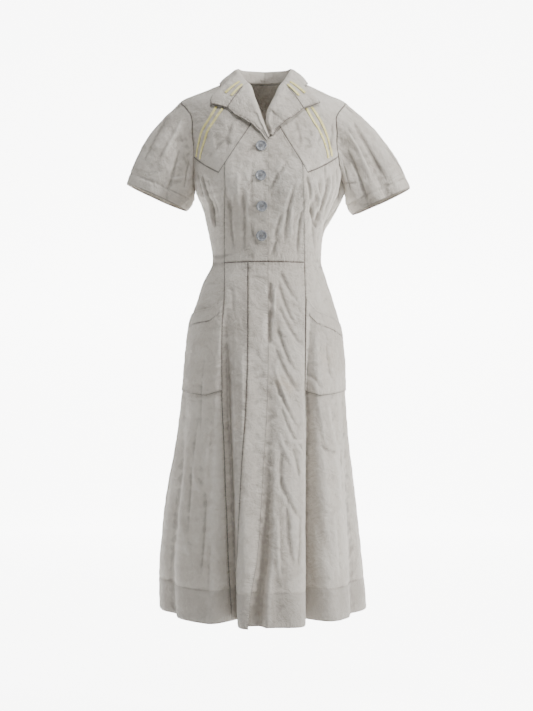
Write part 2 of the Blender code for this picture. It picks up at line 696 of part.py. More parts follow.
def princess_share(side):
    """Where the princess seam meets the yoke's slanted seam, as a share of that seam."""
    corner, end = YOKE_CORNER[side], YOKE_TOP_END[side]
    low, high = 0.0, 0.5
    for _ in range(40):
        share = (low + high) / 2
        x = corner[0] + (end[0] - corner[0]) * share
        height = corner[1] + (end[1] - corner[1]) * share
        seam = smooth_read([row.height for row in PRINCESS], [getattr(row, side) for row in PRINCESS], height)
        low, high = (share, high) if abs(x) > abs(seam) else (low, share)
    return share


def princess_top(side):
    turn, height = yoke_seam(side)(princess_share(side))
    return float(turn), float(height)


def yoke_low_edge(side):
    """From the armhole to the yoke's corner."""
    turn, height = armhole(side, YOKE_ARMHOLE_END)
    return line((0.0, 1.0), ((float(turn), float(height)), on_front(*YOKE_CORNER[side])))


def shoulder_shares():
    """Shares of the shoulder seam, from the sleeve to the neck, that the yoke and the back both use."""
    return np.concatenate([np.linspace(0, YOKE_CORNER_SHARE, YOKE_LOW_CELLS + 1),
                           np.linspace(YOKE_CORNER_SHARE, 1, YOKE_SEAM_CELLS + 1)[1:]])


def make_yoke(side, finish, collection):
    corner = YOKE_CORNER_SHARE
    arm = stretch(lambda share: armhole(side, share), YOKE_ARMHOLE_END, 0.0)
    shoulder_x = SIDES[side] * float(body_column(side, NECK_SEAM))
    neck = front_line(YOKE_NECK_SHARES, (YOKE_TOP_END[side], YOKE_NECK[side], GORGE[side],
                                         SIDE_NECK[side], (shoulder_x, NECK_SEAM)))
    bottom = joined(stretched(0.0, corner, yoke_low_edge(side)), stretched(corner, 1.0, yoke_seam(side)))
    tip = armhole(side, 0.0)
    top = line((0.0, 1.0), ((float(tip[0]), float(tip[1])), (mirrored_turn(side, 90), NECK_SEAM)))
    turn, height = flat_patch(bottom, top, arm, neck, shoulder_shares(), np.linspace(0, 1, YOKE_ARM_CELLS + 1))
    return panel(side + "_yoke", turn, height, finish, collection)


def make_front_bodice(side, finish, collection):
    """From the waist seam to the yoke's slanted seam, between the princess seam and the lap."""
    rows = BODICE_SIDE_ROWS + SIDE_ARM_CELLS
    lap_share = BODICE_SIDE_ROWS / rows
    lap_top = FRONT_NECK[side][0]
    seam_top = princess_top(side)

    def outer(share):
        height = WAIST + (seam_top[1] - WAIST) * np.asarray(share)
        return princess_turn(side, height), height

    lap = seam_between((lap_top.x, WAIST), (lap_top.x, lap_top.height))
    neck = front_line([row.share for row in FRONT_NECK[side]],
                      [(row.x, row.height) for row in FRONT_NECK[side]])
    inner = joined(stretched(0.0, lap_share, lap), stretched(lap_share, 1.0, neck))
    bottom = line((0.0, 1.0), ((float(princess_turn(side, WAIST)), WAIST), on_front(lap_top.x, WAIST)))
    top = stretch(yoke_seam(side), princess_share(side), 1.0)
    turn, height = patch(bottom, top, outer, inner, spaced(FRONT_COLUMNS, 0.2), np.linspace(0, 1, rows + 1))
    return panel(side + "_front_bodice", turn, height, finish, collection, lambda x, h: lap_lift(side, x))


def skirt_level(share, mouth):
    """Height in the skirt by share of its rows, with a row on the pocket's bottom and one on its mouth."""
    bottom_share = BELOW_POCKET_ROWS / SKIRT_ROWS
    mouth_share = bottom_share + POCKET_ROWS / SKIRT_ROWS
    return np.interp(share, (0.0, bottom_share, mouth_share, 1.0), (HEM, POCKET_BOTTOM, mouth, WAIST))


def make_side_panel(side, finish, collection):
    """In one piece from the hem to the yoke and the armhole, with no seam at the waist."""
    rows = SKIRT_ROWS + BODICE_SIDE_ROWS + SIDE_ARM_CELLS
    waist_share = SKIRT_ROWS / rows
    under_share = (SKIRT_ROWS + BODICE_SIDE_ROWS) / rows
    quarter = mirrored_turn(side, 90)
    under_height = float(armhole(side, UNDERARM_SHARE)[1])
    seam_top = princess_top(side)
    mouth_side = POCKET_MOUTH_SIDE[side]
    outer = joined(
        stretched(0.0, waist_share, lambda share: (quarter + 0 * share, skirt_level(share, mouth_side))),
        stretched(waist_share, under_share, line((0.0, 1.0), ((quarter, WAIST), (quarter, under_height)))),
        stretched(under_share, 1.0, stretch(lambda share: armhole(side, share),
                                            UNDERARM_SHARE, YOKE_ARMHOLE_END)))

    def inner(share):
        skirt = skirt_level(np.clip(share / waist_share, 0, 1), POCKET_MOUTH)
        bodice = np.clip((share - waist_share) / (1 - waist_share), 0, 1) * (seam_top[1] - WAIST)
        height = skirt + bodice
        return princess_turn(side, height), height

    hem = line((0.0, 1.0), ((quarter, HEM), (float(princess_turn(side, HEM)), HEM)))
    corner = SIDE_CORNER_SHARE
    top = joined(stretched(0.0, corner, yoke_low_edge(side)),
                 stretched(corner, 1.0, stretch(yoke_seam(side), 0.0, princess_share(side))))
    across = np.concatenate([spaced(SIDE_COLUMNS) * corner, np.linspace(corner, 1, PRINCESS_COLUMNS + 1)[1:]])
    turn, height = patch(hem, top, outer, inner, across, np.linspace(0, 1, rows + 1))
    return panel(side + "_side_panel", turn, height, finish, collection)


def make_skirt_piece(name, first, last, across, finish, collection, lift_rule=None):
    """A skirt piece from the hem to the waist between two lines, each a turn by height."""
    heights = skirt_level(np.linspace(0, 1, SKIRT_ROWS + 1), POCKET_MOUTH)
    start = np.broadcast_to(first(heights), heights.shape)
    end = np.broadcast_to(last(heights), heights.shape)
    turn = start[None, :] + (end - start)[None, :] * across[:, None]
    height = np.broadcast_to(heights, turn.shape)
    panel(name, turn, height, finish, collection, lift_rule)


def make_skirt(finish, collection):
    def lap_edge(height):
        return turn_at(lap_row("edge", height), height)

    def placket_edge(height):
        return turn_at(lap_row("edge", height) - PLACKET_WIDTH, height)

    def underlap_edge(height):
        return turn_at(lap_row("edge", height) - lap_row("over", height), height)

    make_skirt_piece("right_front_skirt", lambda h: princess_turn("right", h), placket_edge,
                     spaced(RIGHT_SKIRT_COLUMNS, 0.4), finish, collection, lambda x, h: lap_lift("right", x, h))
    make_skirt_piece("front_placket", placket_edge, lap_edge, spaced(PLACKET_COLUMNS), finish, collection,
                     lambda x, h: lap_lift("right", x, h) + PLACKET_RISE)
    make_skirt_piece("left_front_skirt", underlap_edge, lambda h: princess_turn("left", h),
                     spaced(LEFT_SKIRT_COLUMNS, 0.3), finish, collection, lambda x, h: lap_lift("left", x, h))
    make_skirt_piece("back_skirt", lambda h: math.radians(90), lambda h: math.radians(270),
                     spaced(BACK_SKIRT_COLUMNS), finish, collection)


def make_back_bodice(finish, collection):
    """One piece from armhole to armhole, with the neck and both shoulders at its top."""
    rows = BODICE_SIDE_ROWS + BACK_ARM_CELLS
    under_share = BODICE_SIDE_ROWS / rows
    columns = 2 * SHOULDER_COLUMNS + NECK_COLUMNS
    shoulder_share = SHOULDER_COLUMNS / columns

    def border(side, whole_turn):
        quarter = mirrored_turn(side, 90) + whole_turn
        under_height = float(armhole(side, UNDERARM_SHARE)[1])

        def arm(share):
            turn, height = armhole(side, UNDERARM_SHARE + (1 - UNDERARM_SHARE) * np.asarray(share))
            return turn + whole_turn, height
        return joined(
            stretched(0.0, under_share, line((0.0, 1.0), ((quarter, WAIST), (quarter, under_height)))),
            stretched(under_share, 1.0, arm))

    quarter, three_quarters = math.radians(90), math.radians(270)
    waist = line((0.0, 1.0), ((quarter, WAIST), (three_quarters, WAIST)))
    tip = {side: float(armhole(side, 0.0)[1]) for side in SIDES}
    top = joined(
        stretched(0.0, shoulder_share, line((0.0, 1.0), ((quarter, tip["left"]), (quarter, NECK_SEAM)))),
        stretched(shoulder_share, 1 - shoulder_share,
                  line((0.0, 1.0), ((quarter, NECK_SEAM), (three_quarters, NECK_SEAM)))),
        stretched(1 - shoulder_share, 1.0,
                  line((0.0, 1.0), ((three_quarters, NECK_SEAM), (three_quarters, tip["right"])))))
    shoulder = shoulder_shares() * shoulder_share
    neck = np.linspace(shoulder_share, 1 - shoulder_share, NECK_COLUMNS + 1)[1:-1]
    across = np.concatenate([shoulder, neck, 1 - shoulder[::-1]])
    turn, height = flat_patch(waist, top, border("left", 0.0), border("right", 2 * math.pi),
                              across, np.linspace(0, 1, rows + 1), behind=True)
    return panel("back_bodice", turn, height, finish, collection)


def grid_normals(points, closed=False):
    """Outward directions of a grid of points, from its neighbours."""
    if closed:
        across = np.roll(points, -1, axis=0) - np.roll(points, 1, axis=0)
    else:
        across = np.gradient(points, axis=0)
    normal = np.cross(across, np.gradient(points, axis=1))
    return normal / np.linalg.norm(normal, axis=-1, keepdims=True)


def sleeve_shares(split):
    """Shares round the armhole, at the bodice's own points, split finer round the cap."""
    base = np.concatenate([np.linspace(0, YOKE_ARMHOLE_END, YOKE_ARM_CELLS + 1)[:-1],
                           np.linspace(YOKE_ARMHOLE_END, UNDERARM_SHARE, SIDE_ARM_CELLS + 1)[:-1],
                           np.linspace(UNDERARM_SHARE, 1.0, BACK_ARM_CELLS + 1)])
    shares, weights = [], []
    for start, end in zip(base[:-1], base[1:]):
        near_cap = start < CAP_SHARE or end > 1 - CAP_SHARE
        for part in range(split if near_cap else 1):
            weight = part / (split if near_cap else 1)
            shares.append(start + (end - start) * weight)
            weights.append((start, end, weight))
    return np.array(shares), weights


def sleeve_grid(side, shares, seam, rows):
    """Points of a sleeve's outer face, from the armhole seam to the hem."""
    row = SLEEVES[side]
    sign = SIDES[side]
    lean = math.radians(row.lean)
    inward = np.array([-sign * math.cos(lean), 0.0, -math.sin(lean)])
    middle = np.array([row.middle_x, 0.0, row.middle_height])
    round_angle = 2 * math.pi * shares[:, None, None]
    spread = -np.cos(round_angle) * row.half_width * inward + np.sin(round_angle) * row.half_depth * FORWARD
    hem = middle + spread
    outward = unit(-np.cos(round_angle) * inward + np.sin(round_angle) * FORWARD)
    t = rows[None, :, None]
    top = np.clip(np.cos(round_angle), 0, 1)
    wave = np.sin(math.pi * np.clip(t, 0, 1))
    puff = row.puff * top * np.abs(wave) ** 0.8 + row.fullness * wave * ease(t / 0.35)
    for fold in SLEEVE_FOLDS:
        if fold.side == side:
            centre = fold.around_top + (fold.around_hem - fold.around_top) * t
            away = (shares[:, None, None] - centre + 0.5) % 1.0 - 0.5
            depth = fold.depth_top + (fold.depth_hem - fold.depth_top) * t
            puff = puff + depth * np.exp(-(away / fold.width) ** 2) * ease(t / 0.25)
    for index in range(TUCK_COUNT):
        centre = (index - (TUCK_COUNT - 1) / 2) * TUCK_SPACING
        away = (shares[:, None, None] - centre + 0.5) % 1.0 - 0.5
        fade = ease(t / 0.05) * (1 - ease(t / TUCK_LENGTH))
        puff = puff - TUCK_DEPTH * np.exp(-(away / (0.28 * TUCK_SPACING)) ** 2) * fade
    return seam[:, None, :] * (1 - t) + hem * t + outward * puff


def make_sleeve(side, finish, collection):
    shares, weights = sleeve_shares(CAP_SPLIT)
    corners = {}
    for start, end, weight in weights:
        for share in (start, end):
            turn, height = armhole(side, share % 1.0)
            corners[share] = (skin(turn, height), skin_normal(turn, height))
    seam = np.array([corners[a][0] * (1 - w) + corners[b][0] * w for a, b, w in weights])
    normal = unit(np.array([corners[a][1] * (1 - w) + corners[b][1] * w for a, b, w in weights]))
    rows = np.concatenate([[0.0, 0.04], np.linspace(0.1, 1.0, SLEEVE_ROWS - 1)])
    outer = sleeve_grid(side, shares, seam, rows)
    tangent = unit(np.roll(outer[:, 0], -1, axis=0) - np.roll(outer[:, 0], 1, axis=0))
    away = unit(np.cross(normal, tangent))
    hollow = outer[:, 0].mean(axis=0)
    away *= np.sign(((hollow - outer[:, 0]) * away).sum(axis=1, keepdims=True))
    outer[:, 0] += away * SLEEVE_SEAM_GAP
    own = grid_normals(outer, closed=True)
    centre = outer.mean(axis=0, keepdims=True)
    if ((outer - centre) * own).sum() < 0:
        own = -own
    agreement = np.clip((own[:, 0] * normal).sum(axis=1, keepdims=True), 0.0, 1.0)
    own[:, 0] = unit(own[:, 0] * (1 - agreement) + normal * agreement)
    cloth_wall(side + "_sleeve", outer, wall_inner(outer, own, closed=True), finish, collection, closed=True)


Border = namedtuple("Border", "stations points normals beyond")


def border_of(stations, points, neighbours, normals):
    """A panel's edge: its points, their outward directions and the way out beyond the edge."""
    tangent = unit(np.gradient(points, axis=0))
    beyond = points - neighbours
    for direction in (tangent, normals):
        beyond = beyond - direction * (beyond * direction).sum(axis=1, keepdims=True)
    return Border(stations, points, normals, unit(beyond))


def front_border(side, bodice, yoke):
    """The neck edge of one front, up to the shoulder."""
    stations = np.concatenate([np.linspace(0, YOKE_STATION, SIDE_ARM_CELLS + 1),
                               np.linspace(YOKE_STATION, SHOULDER_STATION, YOKE_ARM_CELLS + 1)[1:]])
    first = np.argmax(stations >= LAPELS[side][0].station - 1e-9)
    parts = []
    for grid, column in ((0, -1), (0, -2), (1, -1)):
        parts.append(np.concatenate([bodice[grid][column, BODICE_SIDE_ROWS:], yoke[grid][column, 1:]])[first:])
    return border_of(stations[first:], *parts)


def back_border(side, back):
    """The back's neck edge, from the shoulder to the middle."""
    middle = SHOULDER_COLUMNS + NECK_COLUMNS // 2
    columns = np.arange(SHOULDER_COLUMNS, middle + 1)
    if side == "right":
        columns = 2 * middle - columns
    stations = SHOULDER_STATION + np.arange(len(columns))
    return border_of(stations, back[0][columns, -1], back[0][columns, -2], back[1][columns, -1])


def face_point(x, height):
    """A point of the front's outer face and the face's direction there."""
    turn = turn_at(x, height)
    return skin(turn, height), skin_normal(turn, height)


def turned_section(start, roll, edge, toward, bow, belly, out):
    """Points across a turned collar: up from its seam, over the roll and down to its edge."""
    fall = edge - roll
    length = np.linalg.norm(fall)
    direction = fall / length
    return [start,
            start * 0.5 + roll * 0.5 + toward * bow,
            roll + toward * bow * ROLL_BOW,
            roll + (direction + out * ROLL_SLOPE) * min(ROLL_DROP, ROLL_DROP_SHARE * length),
            roll + fall * FALL_KNOTS[1] + out * belly * FALL_BELLIES[0],
            roll + fall * FALL_KNOTS[2] + out * belly * FALL_BELLIES[1],
            edge]


def lapel_points(side, border):
    """One section of the lapel at each point of the front's edge, up to the gorge."""
    rows = LAPELS[side]
    knots = [row.station for row in rows]
    points = []
    for index in np.flatnonzero(border.stations <= GORGE_STATION + 1e-9):
        station = border.stations[index]
        edge_x, edge_height, rise, lift, bow, belly = (
            float(smooth_read(knots, [getattr(row, name) for row in rows], station))
            for name in ("edge_x", "edge_height", "rise", "lift", "bow", "belly"))
        point, normal, beyond = border.points[index], border.normals[index], border.beyond[index]
        start = point - normal * WALL + beyond * (WALL + NECK_GAP)
        roll = point + normal * rise + beyond * (WALL + NECK_GAP)
        face, out = face_point(edge_x, edge_height)
        edge = face + out * (lift + lap_lift(side, edge_x))
        points.append(turned_section(start, roll, edge, beyond, bow, belly, out))
    return np.array(points)


def lapel_grid(side, border):
    outer = pull_in(lapel_points(side, border), ("last",))
    normal = grid_normals(outer)
    if normal[len(normal) // 2, -1, 1] > 0:
        normal = -normal
    return outer, normal


def collar_points(side, front, back, shares):
    """Collar sections at any shares from the gorge (0) to the middle of the back (1): straight
    along to the point, smooth beyond it."""
    sign = SIDES[side]
    at_gorge = int(np.argmax(front.stations >= GORGE_STATION - 1e-9))
    seam = [np.concatenate([first[at_gorge:], second[1:]]) for first, second in zip(front[1:], back[1:])]
    stations = np.concatenate([front.stations[at_gorge:], back.stations[1:]])
    middle = back.stations[-1]
    station_of = np.interp(shares, SEAM_SHARES, np.concatenate(
        [[GORGE_STATION, GORGE_STATION + 1, SHOULDER_STATION], np.linspace(SHOULDER_STATION, middle, 5)[1:]]))
    corner_turn, corner_height = on_front(*COLLAR_POINT[side])
    fall_knots = [COLLAR_CORNER] + [row.share for row in COLLAR_FALL]
    fall_turns = [corner_turn] + [sign * math.radians(row.turn) for row in COLLAR_FALL]
    fall = {"height": [corner_height] + [row.height for row in COLLAR_FALL],
            "lift": [POINT_LIFT] + [row.lift for row in COLLAR_FALL],
            "bow": [GORGE_BOW] + [row.bow for row in COLLAR_FALL],
            "belly": [POINT_BELLY] + [row.belly for row in COLLAR_FALL]}
    corner_values = {name: values[0] for name, values in fall.items()}
    gorge_values = {"lift": GORGE_LIFT, "bow": GORGE_BOW, "belly": GORGE_BELLY}
    roll_knots = [row.share for row in COLLAR_ROLL]
    roll_places = np.array([(sign * row.x, row.y, row.height) for row in COLLAR_ROLL])
    points = []
    for share, station in zip(shares, station_of):
        place, normal, beyond = (np.array([np.interp(station, stations, values[:, axis]) for axis in range(3)])
                                 for values in seam)
        q = min(share / COLLAR_CORNER, 1.0)
        roll = np.array([smooth_read(roll_knots, roll_places[:, axis], share) for axis in range(3)])
        if q < 1.0:
            gorge_roll = seam[0][0] + seam[1][0] * ROLL_RISE + seam[2][0] * (WALL + NECK_GAP)
            roll = gorge_roll * (1 - q) + roll_places[0] * q
            values = {name: gorge_values[name] * (1 - q) + corner_values[name] * q for name in gorge_values}
            x, height = (a * (1 - q) + b * q for a, b in zip(GORGE_END[side], COLLAR_POINT[side]))
            turn = turn_at(x, height)
        else:
            values = {name: float(smooth_read(fall_knots, column, share)) for name, column in fall.items()}
            height = values["height"]
            turn = smooth_read(fall_knots, fall_turns, share)
        to_axis = unit((NECK_AXIS - roll) * np.array([1.0, 1.0, 0.0]))
        toward = unit(beyond * (1 - q) + to_axis * q)
        start = place - normal * WALL * (1 - q) + beyond * (NECK_GAP + WALL * (beyond @ toward))
        out = skin_normal(turn, height)
        edge = skin(turn, height) + out * values["lift"]
        points.append(turned_section(start, roll, edge, toward, values["bow"], values["belly"], out))
    return np.array(points)


def collar_grid(fronts, backs):
    shares = np.array(COLLAR_SHARES)
    right = collar_points("right", fronts["right"], backs["right"], shares)
    left = collar_points("left", fronts["left"], backs["left"], shares)[::-1]
    left[0] = (left[0] + right[-1]) / 2
    outer = np.concatenate([right[:-1], left])
    outer = pull_in(outer, ("first", "last"))
    normal = grid_normals(outer)
    if normal[len(normal) // 2, -1, 1] < 0:
        normal = -normal
    return outer, normal


def make_collar(fronts, backs, finish, collection):
    """Both lapels and the collar, with the same rims on the two sides of each gorge seam."""
    grids = {"collar": collar_grid(fronts, backs)}
    for side, border in (("right", 0), ("left", -1)):
        grids[side + "_lapel"] = lapel_grid(side, fronts[side])
        shared = unit(grids["collar"][1][border] + grids[side + "_lapel"][1][-1])
        grids["collar"][1][border] = shared
        grids[side + "_lapel"][1][-1] = shared
    for name, (outer, normal) in grids.items():
        cloth_wall(name, outer, wall_inner(outer, normal), finish, collection)


def make_pocket(side, side_panel, finish, collection):
    """A patch made from the side panel's own points, moved out, with its front edge in the seam."""
    points, normal = (grid[POCKET_COLUMN:, BELOW_POCKET_ROWS:BELOW_POCKET_ROWS + POCKET_ROWS + 1]
                      for grid in side_panel)
    s = np.linspace(0.0, 1.0, points.shape[0])[:, None, None]
    t = np.linspace(0.0, 1.0, points.shape[1])[None, :, None]
    belly = POCKET_BELLY * np.sin(math.pi * s) * (0.3 + 0.7 * t)
    outer = points + normal * (LAID_ON_GAP + WALL + belly)
    cloth_wall(side + "_pocket", outer, outer - normal * WALL, finish, collection)


def make_button(index, place, finish, collection):
    """A turned disc with a raised rim and four holes, square to the cloth beneath."""
    point, normal = face_point(*place)
    lift = lap_lift("right", place[0]) + BUTTON_SEAT
    inner = BUTTON_RADIUS - BUTTON_RIM
    profile = ((0.0, 0.0), (BUTTON_RADIUS * 0.86, 0.0), (BUTTON_RADIUS, BUTTON_THICKNESS * 0.40),
               (BUTTON_RADIUS * 0.97, BUTTON_THICKNESS * 0.85), (inner + BUTTON_RIM * 0.45, BUTTON_THICKNESS),
               (inner, BUTTON_THICKNESS * 0.70), (0.0, BUTTON_THICKNESS * 0.62))
    shape = bmesh.new()
    points = [shape.verts.new((r, 0.0, z)) for r, z in profile]
    edges = [shape.edges.new(pair) for pair in zip(points[:-1], points[1:])]
    bmesh.ops.spin(shape, geom=points + edges, cent=(0, 0, 0), axis=(0, 0, 1), angle=2 * math.pi,
                   steps=BUTTON_SIDES, use_merge=True)
    bmesh.ops.remove_doubles(shape, verts=shape.verts, dist=1e-6)
    bmesh.ops.recalc_face_normals(shape, faces=shape.faces)
    name = "button_%d" % (index + 1)
    mesh = bpy.data.meshes.new(name)
    shape.to_mesh(mesh)
    shape.free()
    mesh.shade_smooth()
    mesh.set_sharp_from_angle(angle=math.radians(50))
    made = bpy.data.objects.new(name, mesh)
    made.data.materials.append(finish)
    collection.objects.link(made)
    made.location = point + normal * lift
    made.rotation_mode = "QUATERNION"
    made.rotation_quaternion = Vector(normal).to_track_quat("Z", "Y")
    return made


def drill_button(button, cutters):
    """Cut the four thread holes."""
    for across in (-0.5, 0.5):
        for along in (-0.5, 0.5):
            shape = bmesh.new()
            bmesh.ops.create_cone(shape, cap_ends=True, segments=8, radius1=HOLE_RADIUS,
                                  radius2=HOLE_RADIUS, depth=BUTTON_THICKNESS * 3)
            mesh = bpy.data.meshes.new(button.name + "_hole")
            shape.to_mesh(mesh)
            shape.free()
            cutter = bpy.data.objects.new(mesh.name, mesh)
            cutters.objects.link(cutter)
            cutter.hide_render = True
            cutter.display_type = "WIRE"
            cutter.parent = button
            cutter.location = (across * HOLE_SPACING, along * HOLE_SPACING, BUTTON_THICKNESS / 2)
            cut = button.modifiers.new("thread_hole", "BOOLEAN")
            cut.object = cutter


def ribbon(name, centre, across, normal, finish, collection):
    """A flat braid along a line of points that already lie on its outer face."""
    half = unit(across) * BRAID_WIDTH / 2
    outer = np.stack([centre - half, centre, centre + half], axis=1)
    thickness = np.repeat(normal[:, None], 3, axis=1) * BRAID_THICKNESS
    cloth_wall(name, outer, outer - thickness, finish, collection)


def make_yoke_braid(name, places, finish, collection):
    knots = np.linspace(0, 1, len(places))
    shares = np.linspace(0, 1, BRAID_CELLS + 1)
    x = smooth_read(knots, [place[0] for place in places], shares)
    height = smooth_read(knots, [place[1] for place in places], shares)
    point, normal = face_point(x, height)
    centre = point + normal * (LAID_ON_GAP + BRAID_THICKNESS)
    across = np.cross(normal, np.gradient(centre, axis=0))
    ribbon(name, centre, across, normal, finish, collection)


def make_collar_braid(side, name, share, front, back, finish, collection):
    """A braid across the collar's fall at one share of the way round the neck."""
    along = np.linspace(COLLAR_BRAID_START, COLLAR_BRAID_END, BRAID_CELLS + 1)
    lines = []
    for section in collar_points(side, front, back, np.array([share, share + 0.02])):
        lines.append(np.stack([smooth_read(FALL_KNOTS, section[3:, axis], along) for axis in range(3)], axis=-1))
    centre, beside = lines
    normal = unit(np.cross(beside - centre, np.gradient(centre, axis=0)))
    normal *= -np.sign(normal[:, 1:2])
    across = np.cross(normal, np.gradient(centre, axis=0))
    centre = centre + normal * (LAID_ON_GAP + BRAID_THICKNESS)
    ribbon("%s_collar_braid_%s" % (side, name), centre, across, normal, finish, collection)


def main():
    for thing in list(bpy.data.objects):
        bpy.data.objects.remove(thing, do_unlink=True)
    collection = bpy.data.collections.new("uniform_smock_dress")
    cutters = bpy.data.collections.new("cutters")
    for made in (collection, cutters):
        bpy.context.scene.collection.children.link(made)
    cloth = material("grey_cotton", (0.56, 0.53, 0.49), 0.85)
    braid = material("yellow_braid", (0.83, 0.78, 0.45), 0.80)
    plastic = material("grey_button", (0.24, 0.25, 0.27), 0.35)
    back = make_back_bodice(cloth, collection)
    fronts, backs = {}, {}
    for side in SIDES:
        yoke = make_yoke(side, cloth, collection)
        bodice = make_front_bodice(side, cloth, collection)
        fronts[side] = front_border(side, bodice, yoke)
        backs[side] = back_border(side, back)
        side_panel = make_side_panel(side, cloth, collection)
        make_pocket(side, side_panel, cloth, collection)
        make_sleeve(side, cloth, collection)
        for name, share in COLLAR_BRAIDS:
            make_collar_braid(side, name, share, fronts[side], backs[side], braid, collection)
    make_skirt(cloth, collection)
    make_collar(fronts, backs, cloth, collection)
    for name, places in BRAIDS.items():
        make_yoke_braid(name, places, braid, collection)
    for index, place in enumerate(BUTTON_PLACES):
        drill_button(make_button(index, place, plastic, collection), cutters)


main()
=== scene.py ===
"""Looks of the uniform smock dress: washed grey cotton panels over their solids' forms, with creases,
seams, stitches, braids and buttons, on a pale floor.

Metres, +Z up, the front toward -Y and the wearer's left toward +X. Heights are measured from
the neck point of the shoulder. A place on the cloth is given by its turn round the body (zero
in front, positive toward the wearer's left) and its height.
"""
import math
from collections import namedtuple

import bmesh
import bpy
import numpy as np
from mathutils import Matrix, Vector


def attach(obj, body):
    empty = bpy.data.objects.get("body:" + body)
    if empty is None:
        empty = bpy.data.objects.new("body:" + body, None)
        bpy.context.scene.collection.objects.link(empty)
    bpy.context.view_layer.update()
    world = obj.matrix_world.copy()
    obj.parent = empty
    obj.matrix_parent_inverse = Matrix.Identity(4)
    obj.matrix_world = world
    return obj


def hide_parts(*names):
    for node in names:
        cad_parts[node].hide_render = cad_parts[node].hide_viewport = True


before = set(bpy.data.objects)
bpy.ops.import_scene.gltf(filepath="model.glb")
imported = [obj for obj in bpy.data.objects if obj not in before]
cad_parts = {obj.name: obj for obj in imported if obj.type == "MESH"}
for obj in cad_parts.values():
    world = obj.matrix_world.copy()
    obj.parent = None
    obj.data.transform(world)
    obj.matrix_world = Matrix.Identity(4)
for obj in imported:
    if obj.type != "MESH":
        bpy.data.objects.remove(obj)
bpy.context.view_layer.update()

# Cloth and seams
WALL = 0.0012
SEAM_GAP = 0.0003
LAID_ON_GAP = 0.00045

FORWARD = np.array([0.0, -1.0, 0.0])

# Steps over which a face's direction is measured, in radians of turn and metres of height
TURN_STEP = 0.010
HEIGHT_STEP = 0.0015

# Heights of the main lines
HEM = -1.172
WAIST = -0.407
NECK_SEAM = 0.011

# Front closing
LAP_EDGE = 0.0085
LAP_OVER = 0.0285
LAP_BLEND = 0.030
LAP_RISE = 0.0011
PLACKET_WIDTH = 0.0450
PLACKET_RISE = 0.0009

# The skirt's opening: its edge drifts to the wearer's right towards the hem, where it stands open
# over a hollow in the left front
LapRow = namedtuple("LapRow", "height edge over hollow_width hollow_depth")
SKIRT_LAP = (
    LapRow(-1.180, -0.0305, 0.0145, 0.0170, 0.0300),
    LapRow(-1.120, -0.0270, 0.0160, 0.0160, 0.0270),
    LapRow(-1.030, -0.0135, 0.0200, 0.0120, 0.0200),
    LapRow(-0.930, -0.0060, 0.0250, 0.0080, 0.0120),
    LapRow(-0.830, -0.0005, LAP_OVER, 0.0060, 0.0060),
    LapRow(-0.730, 0.0060, LAP_OVER, 0.0050, 0.0020),
    LapRow(-0.650, LAP_EDGE, LAP_OVER, 0.0050, 0.0),
    LapRow(-0.407, LAP_EDGE, LAP_OVER, 0.0050, 0.0),
)
HOLLOW_BLEND = 0.020

# Buttons
BUTTON_RADIUS = 0.0118
BUTTON_THICKNESS = 0.0034
BUTTON_SEAT = 0.0008
BUTTON_PLACES = ((-0.0070, -0.1576), (-0.0078, -0.2232), (-0.0056, -0.2882), (-0.0061, -0.3502))
HOLE_RADIUS = 0.0012
HOLE_SPACING = 0.0040

# Braid
BRAID_WIDTH = 0.0062
BRAID_THICKNESS = 0.0010
BRAID_CELLS = 60

Section = namedtuple("Section", "height right left front back power")
BODY = (
    Section(-1.180, 0.235, 0.229, 0.252, 0.214, 2.00),
    Section(-1.060, 0.235, 0.219, 0.230, 0.196, 2.02),
    Section(-0.950, 0.222, 0.207, 0.204, 0.180, 2.05),
    Section(-0.820, 0.201, 0.192, 0.175, 0.161, 2.10),
    Section(-0.700, 0.186, 0.182, 0.153, 0.147, 2.15),
    Section(-0.610, 0.178, 0.179, 0.139, 0.137, 2.20),
    Section(-0.540, 0.168, 0.170, 0.129, 0.125, 2.20),
    Section(-0.480, 0.149, 0.152, 0.116, 0.108, 2.20),
    Section(-0.440, 0.134, 0.139, 0.106, 0.096, 2.20),
    Section(-0.407, 0.118, 0.129, 0.099, 0.088, 2.20),
    Section(-0.370, 0.120, 0.129, 0.102, 0.087, 2.22),
    Section(-0.330, 0.128, 0.136, 0.110, 0.090, 2.28),
    Section(-0.290, 0.137, 0.160, 0.119, 0.095, 2.30),
    Section(-0.243, 0.155, 0.181, 0.126, 0.102, 2.30),
    Section(-0.180, 0.164, 0.177, 0.121, 0.108, 2.28),
    Section(-0.130, 0.172, 0.174, 0.109, 0.110, 2.20),
    Section(-0.090, 0.182, 0.180, 0.096, 0.107, 2.08),
    Section(-0.060, 0.190, 0.185, 0.085, 0.101, 1.90),
    Section(-0.040, 0.189, 0.179, 0.077, 0.095, 1.70),
    Section(-0.027, 0.161, 0.149, 0.071, 0.089, 1.60),
    Section(-0.0135, 0.127, 0.122, 0.065, 0.082, 1.55),
    Section(0.000, 0.094, 0.092, 0.059, 0.074, 1.55),
    Section(0.016, 0.059, 0.058, 0.052, 0.062, 1.80),
)

# The bust's fullness, on each side of the front
BUST_X = 0.082
BUST_HEIGHT = -0.232
BUST_SPREAD_X = 0.050
BUST_SPREAD_Z = 0.062
BUST_DEPTH = 0.015

# Front seams by the distance from the middle plane
PrincessRow = namedtuple("PrincessRow", "height right left")
PRINCESS = (
    PrincessRow(-1.180, -0.090, 0.106),
    PrincessRow(-0.900, -0.093, 0.101),
    PrincessRow(-0.690, -0.095, 0.095),
    PrincessRow(-0.560, -0.093, 0.089),
    PrincessRow(-0.480, -0.088, 0.090),
    PrincessRow(-0.407, -0.088, 0.088),
    PrincessRow(-0.300, -0.087, 0.086),
    PrincessRow(-0.190, -0.086, 0.082),
)

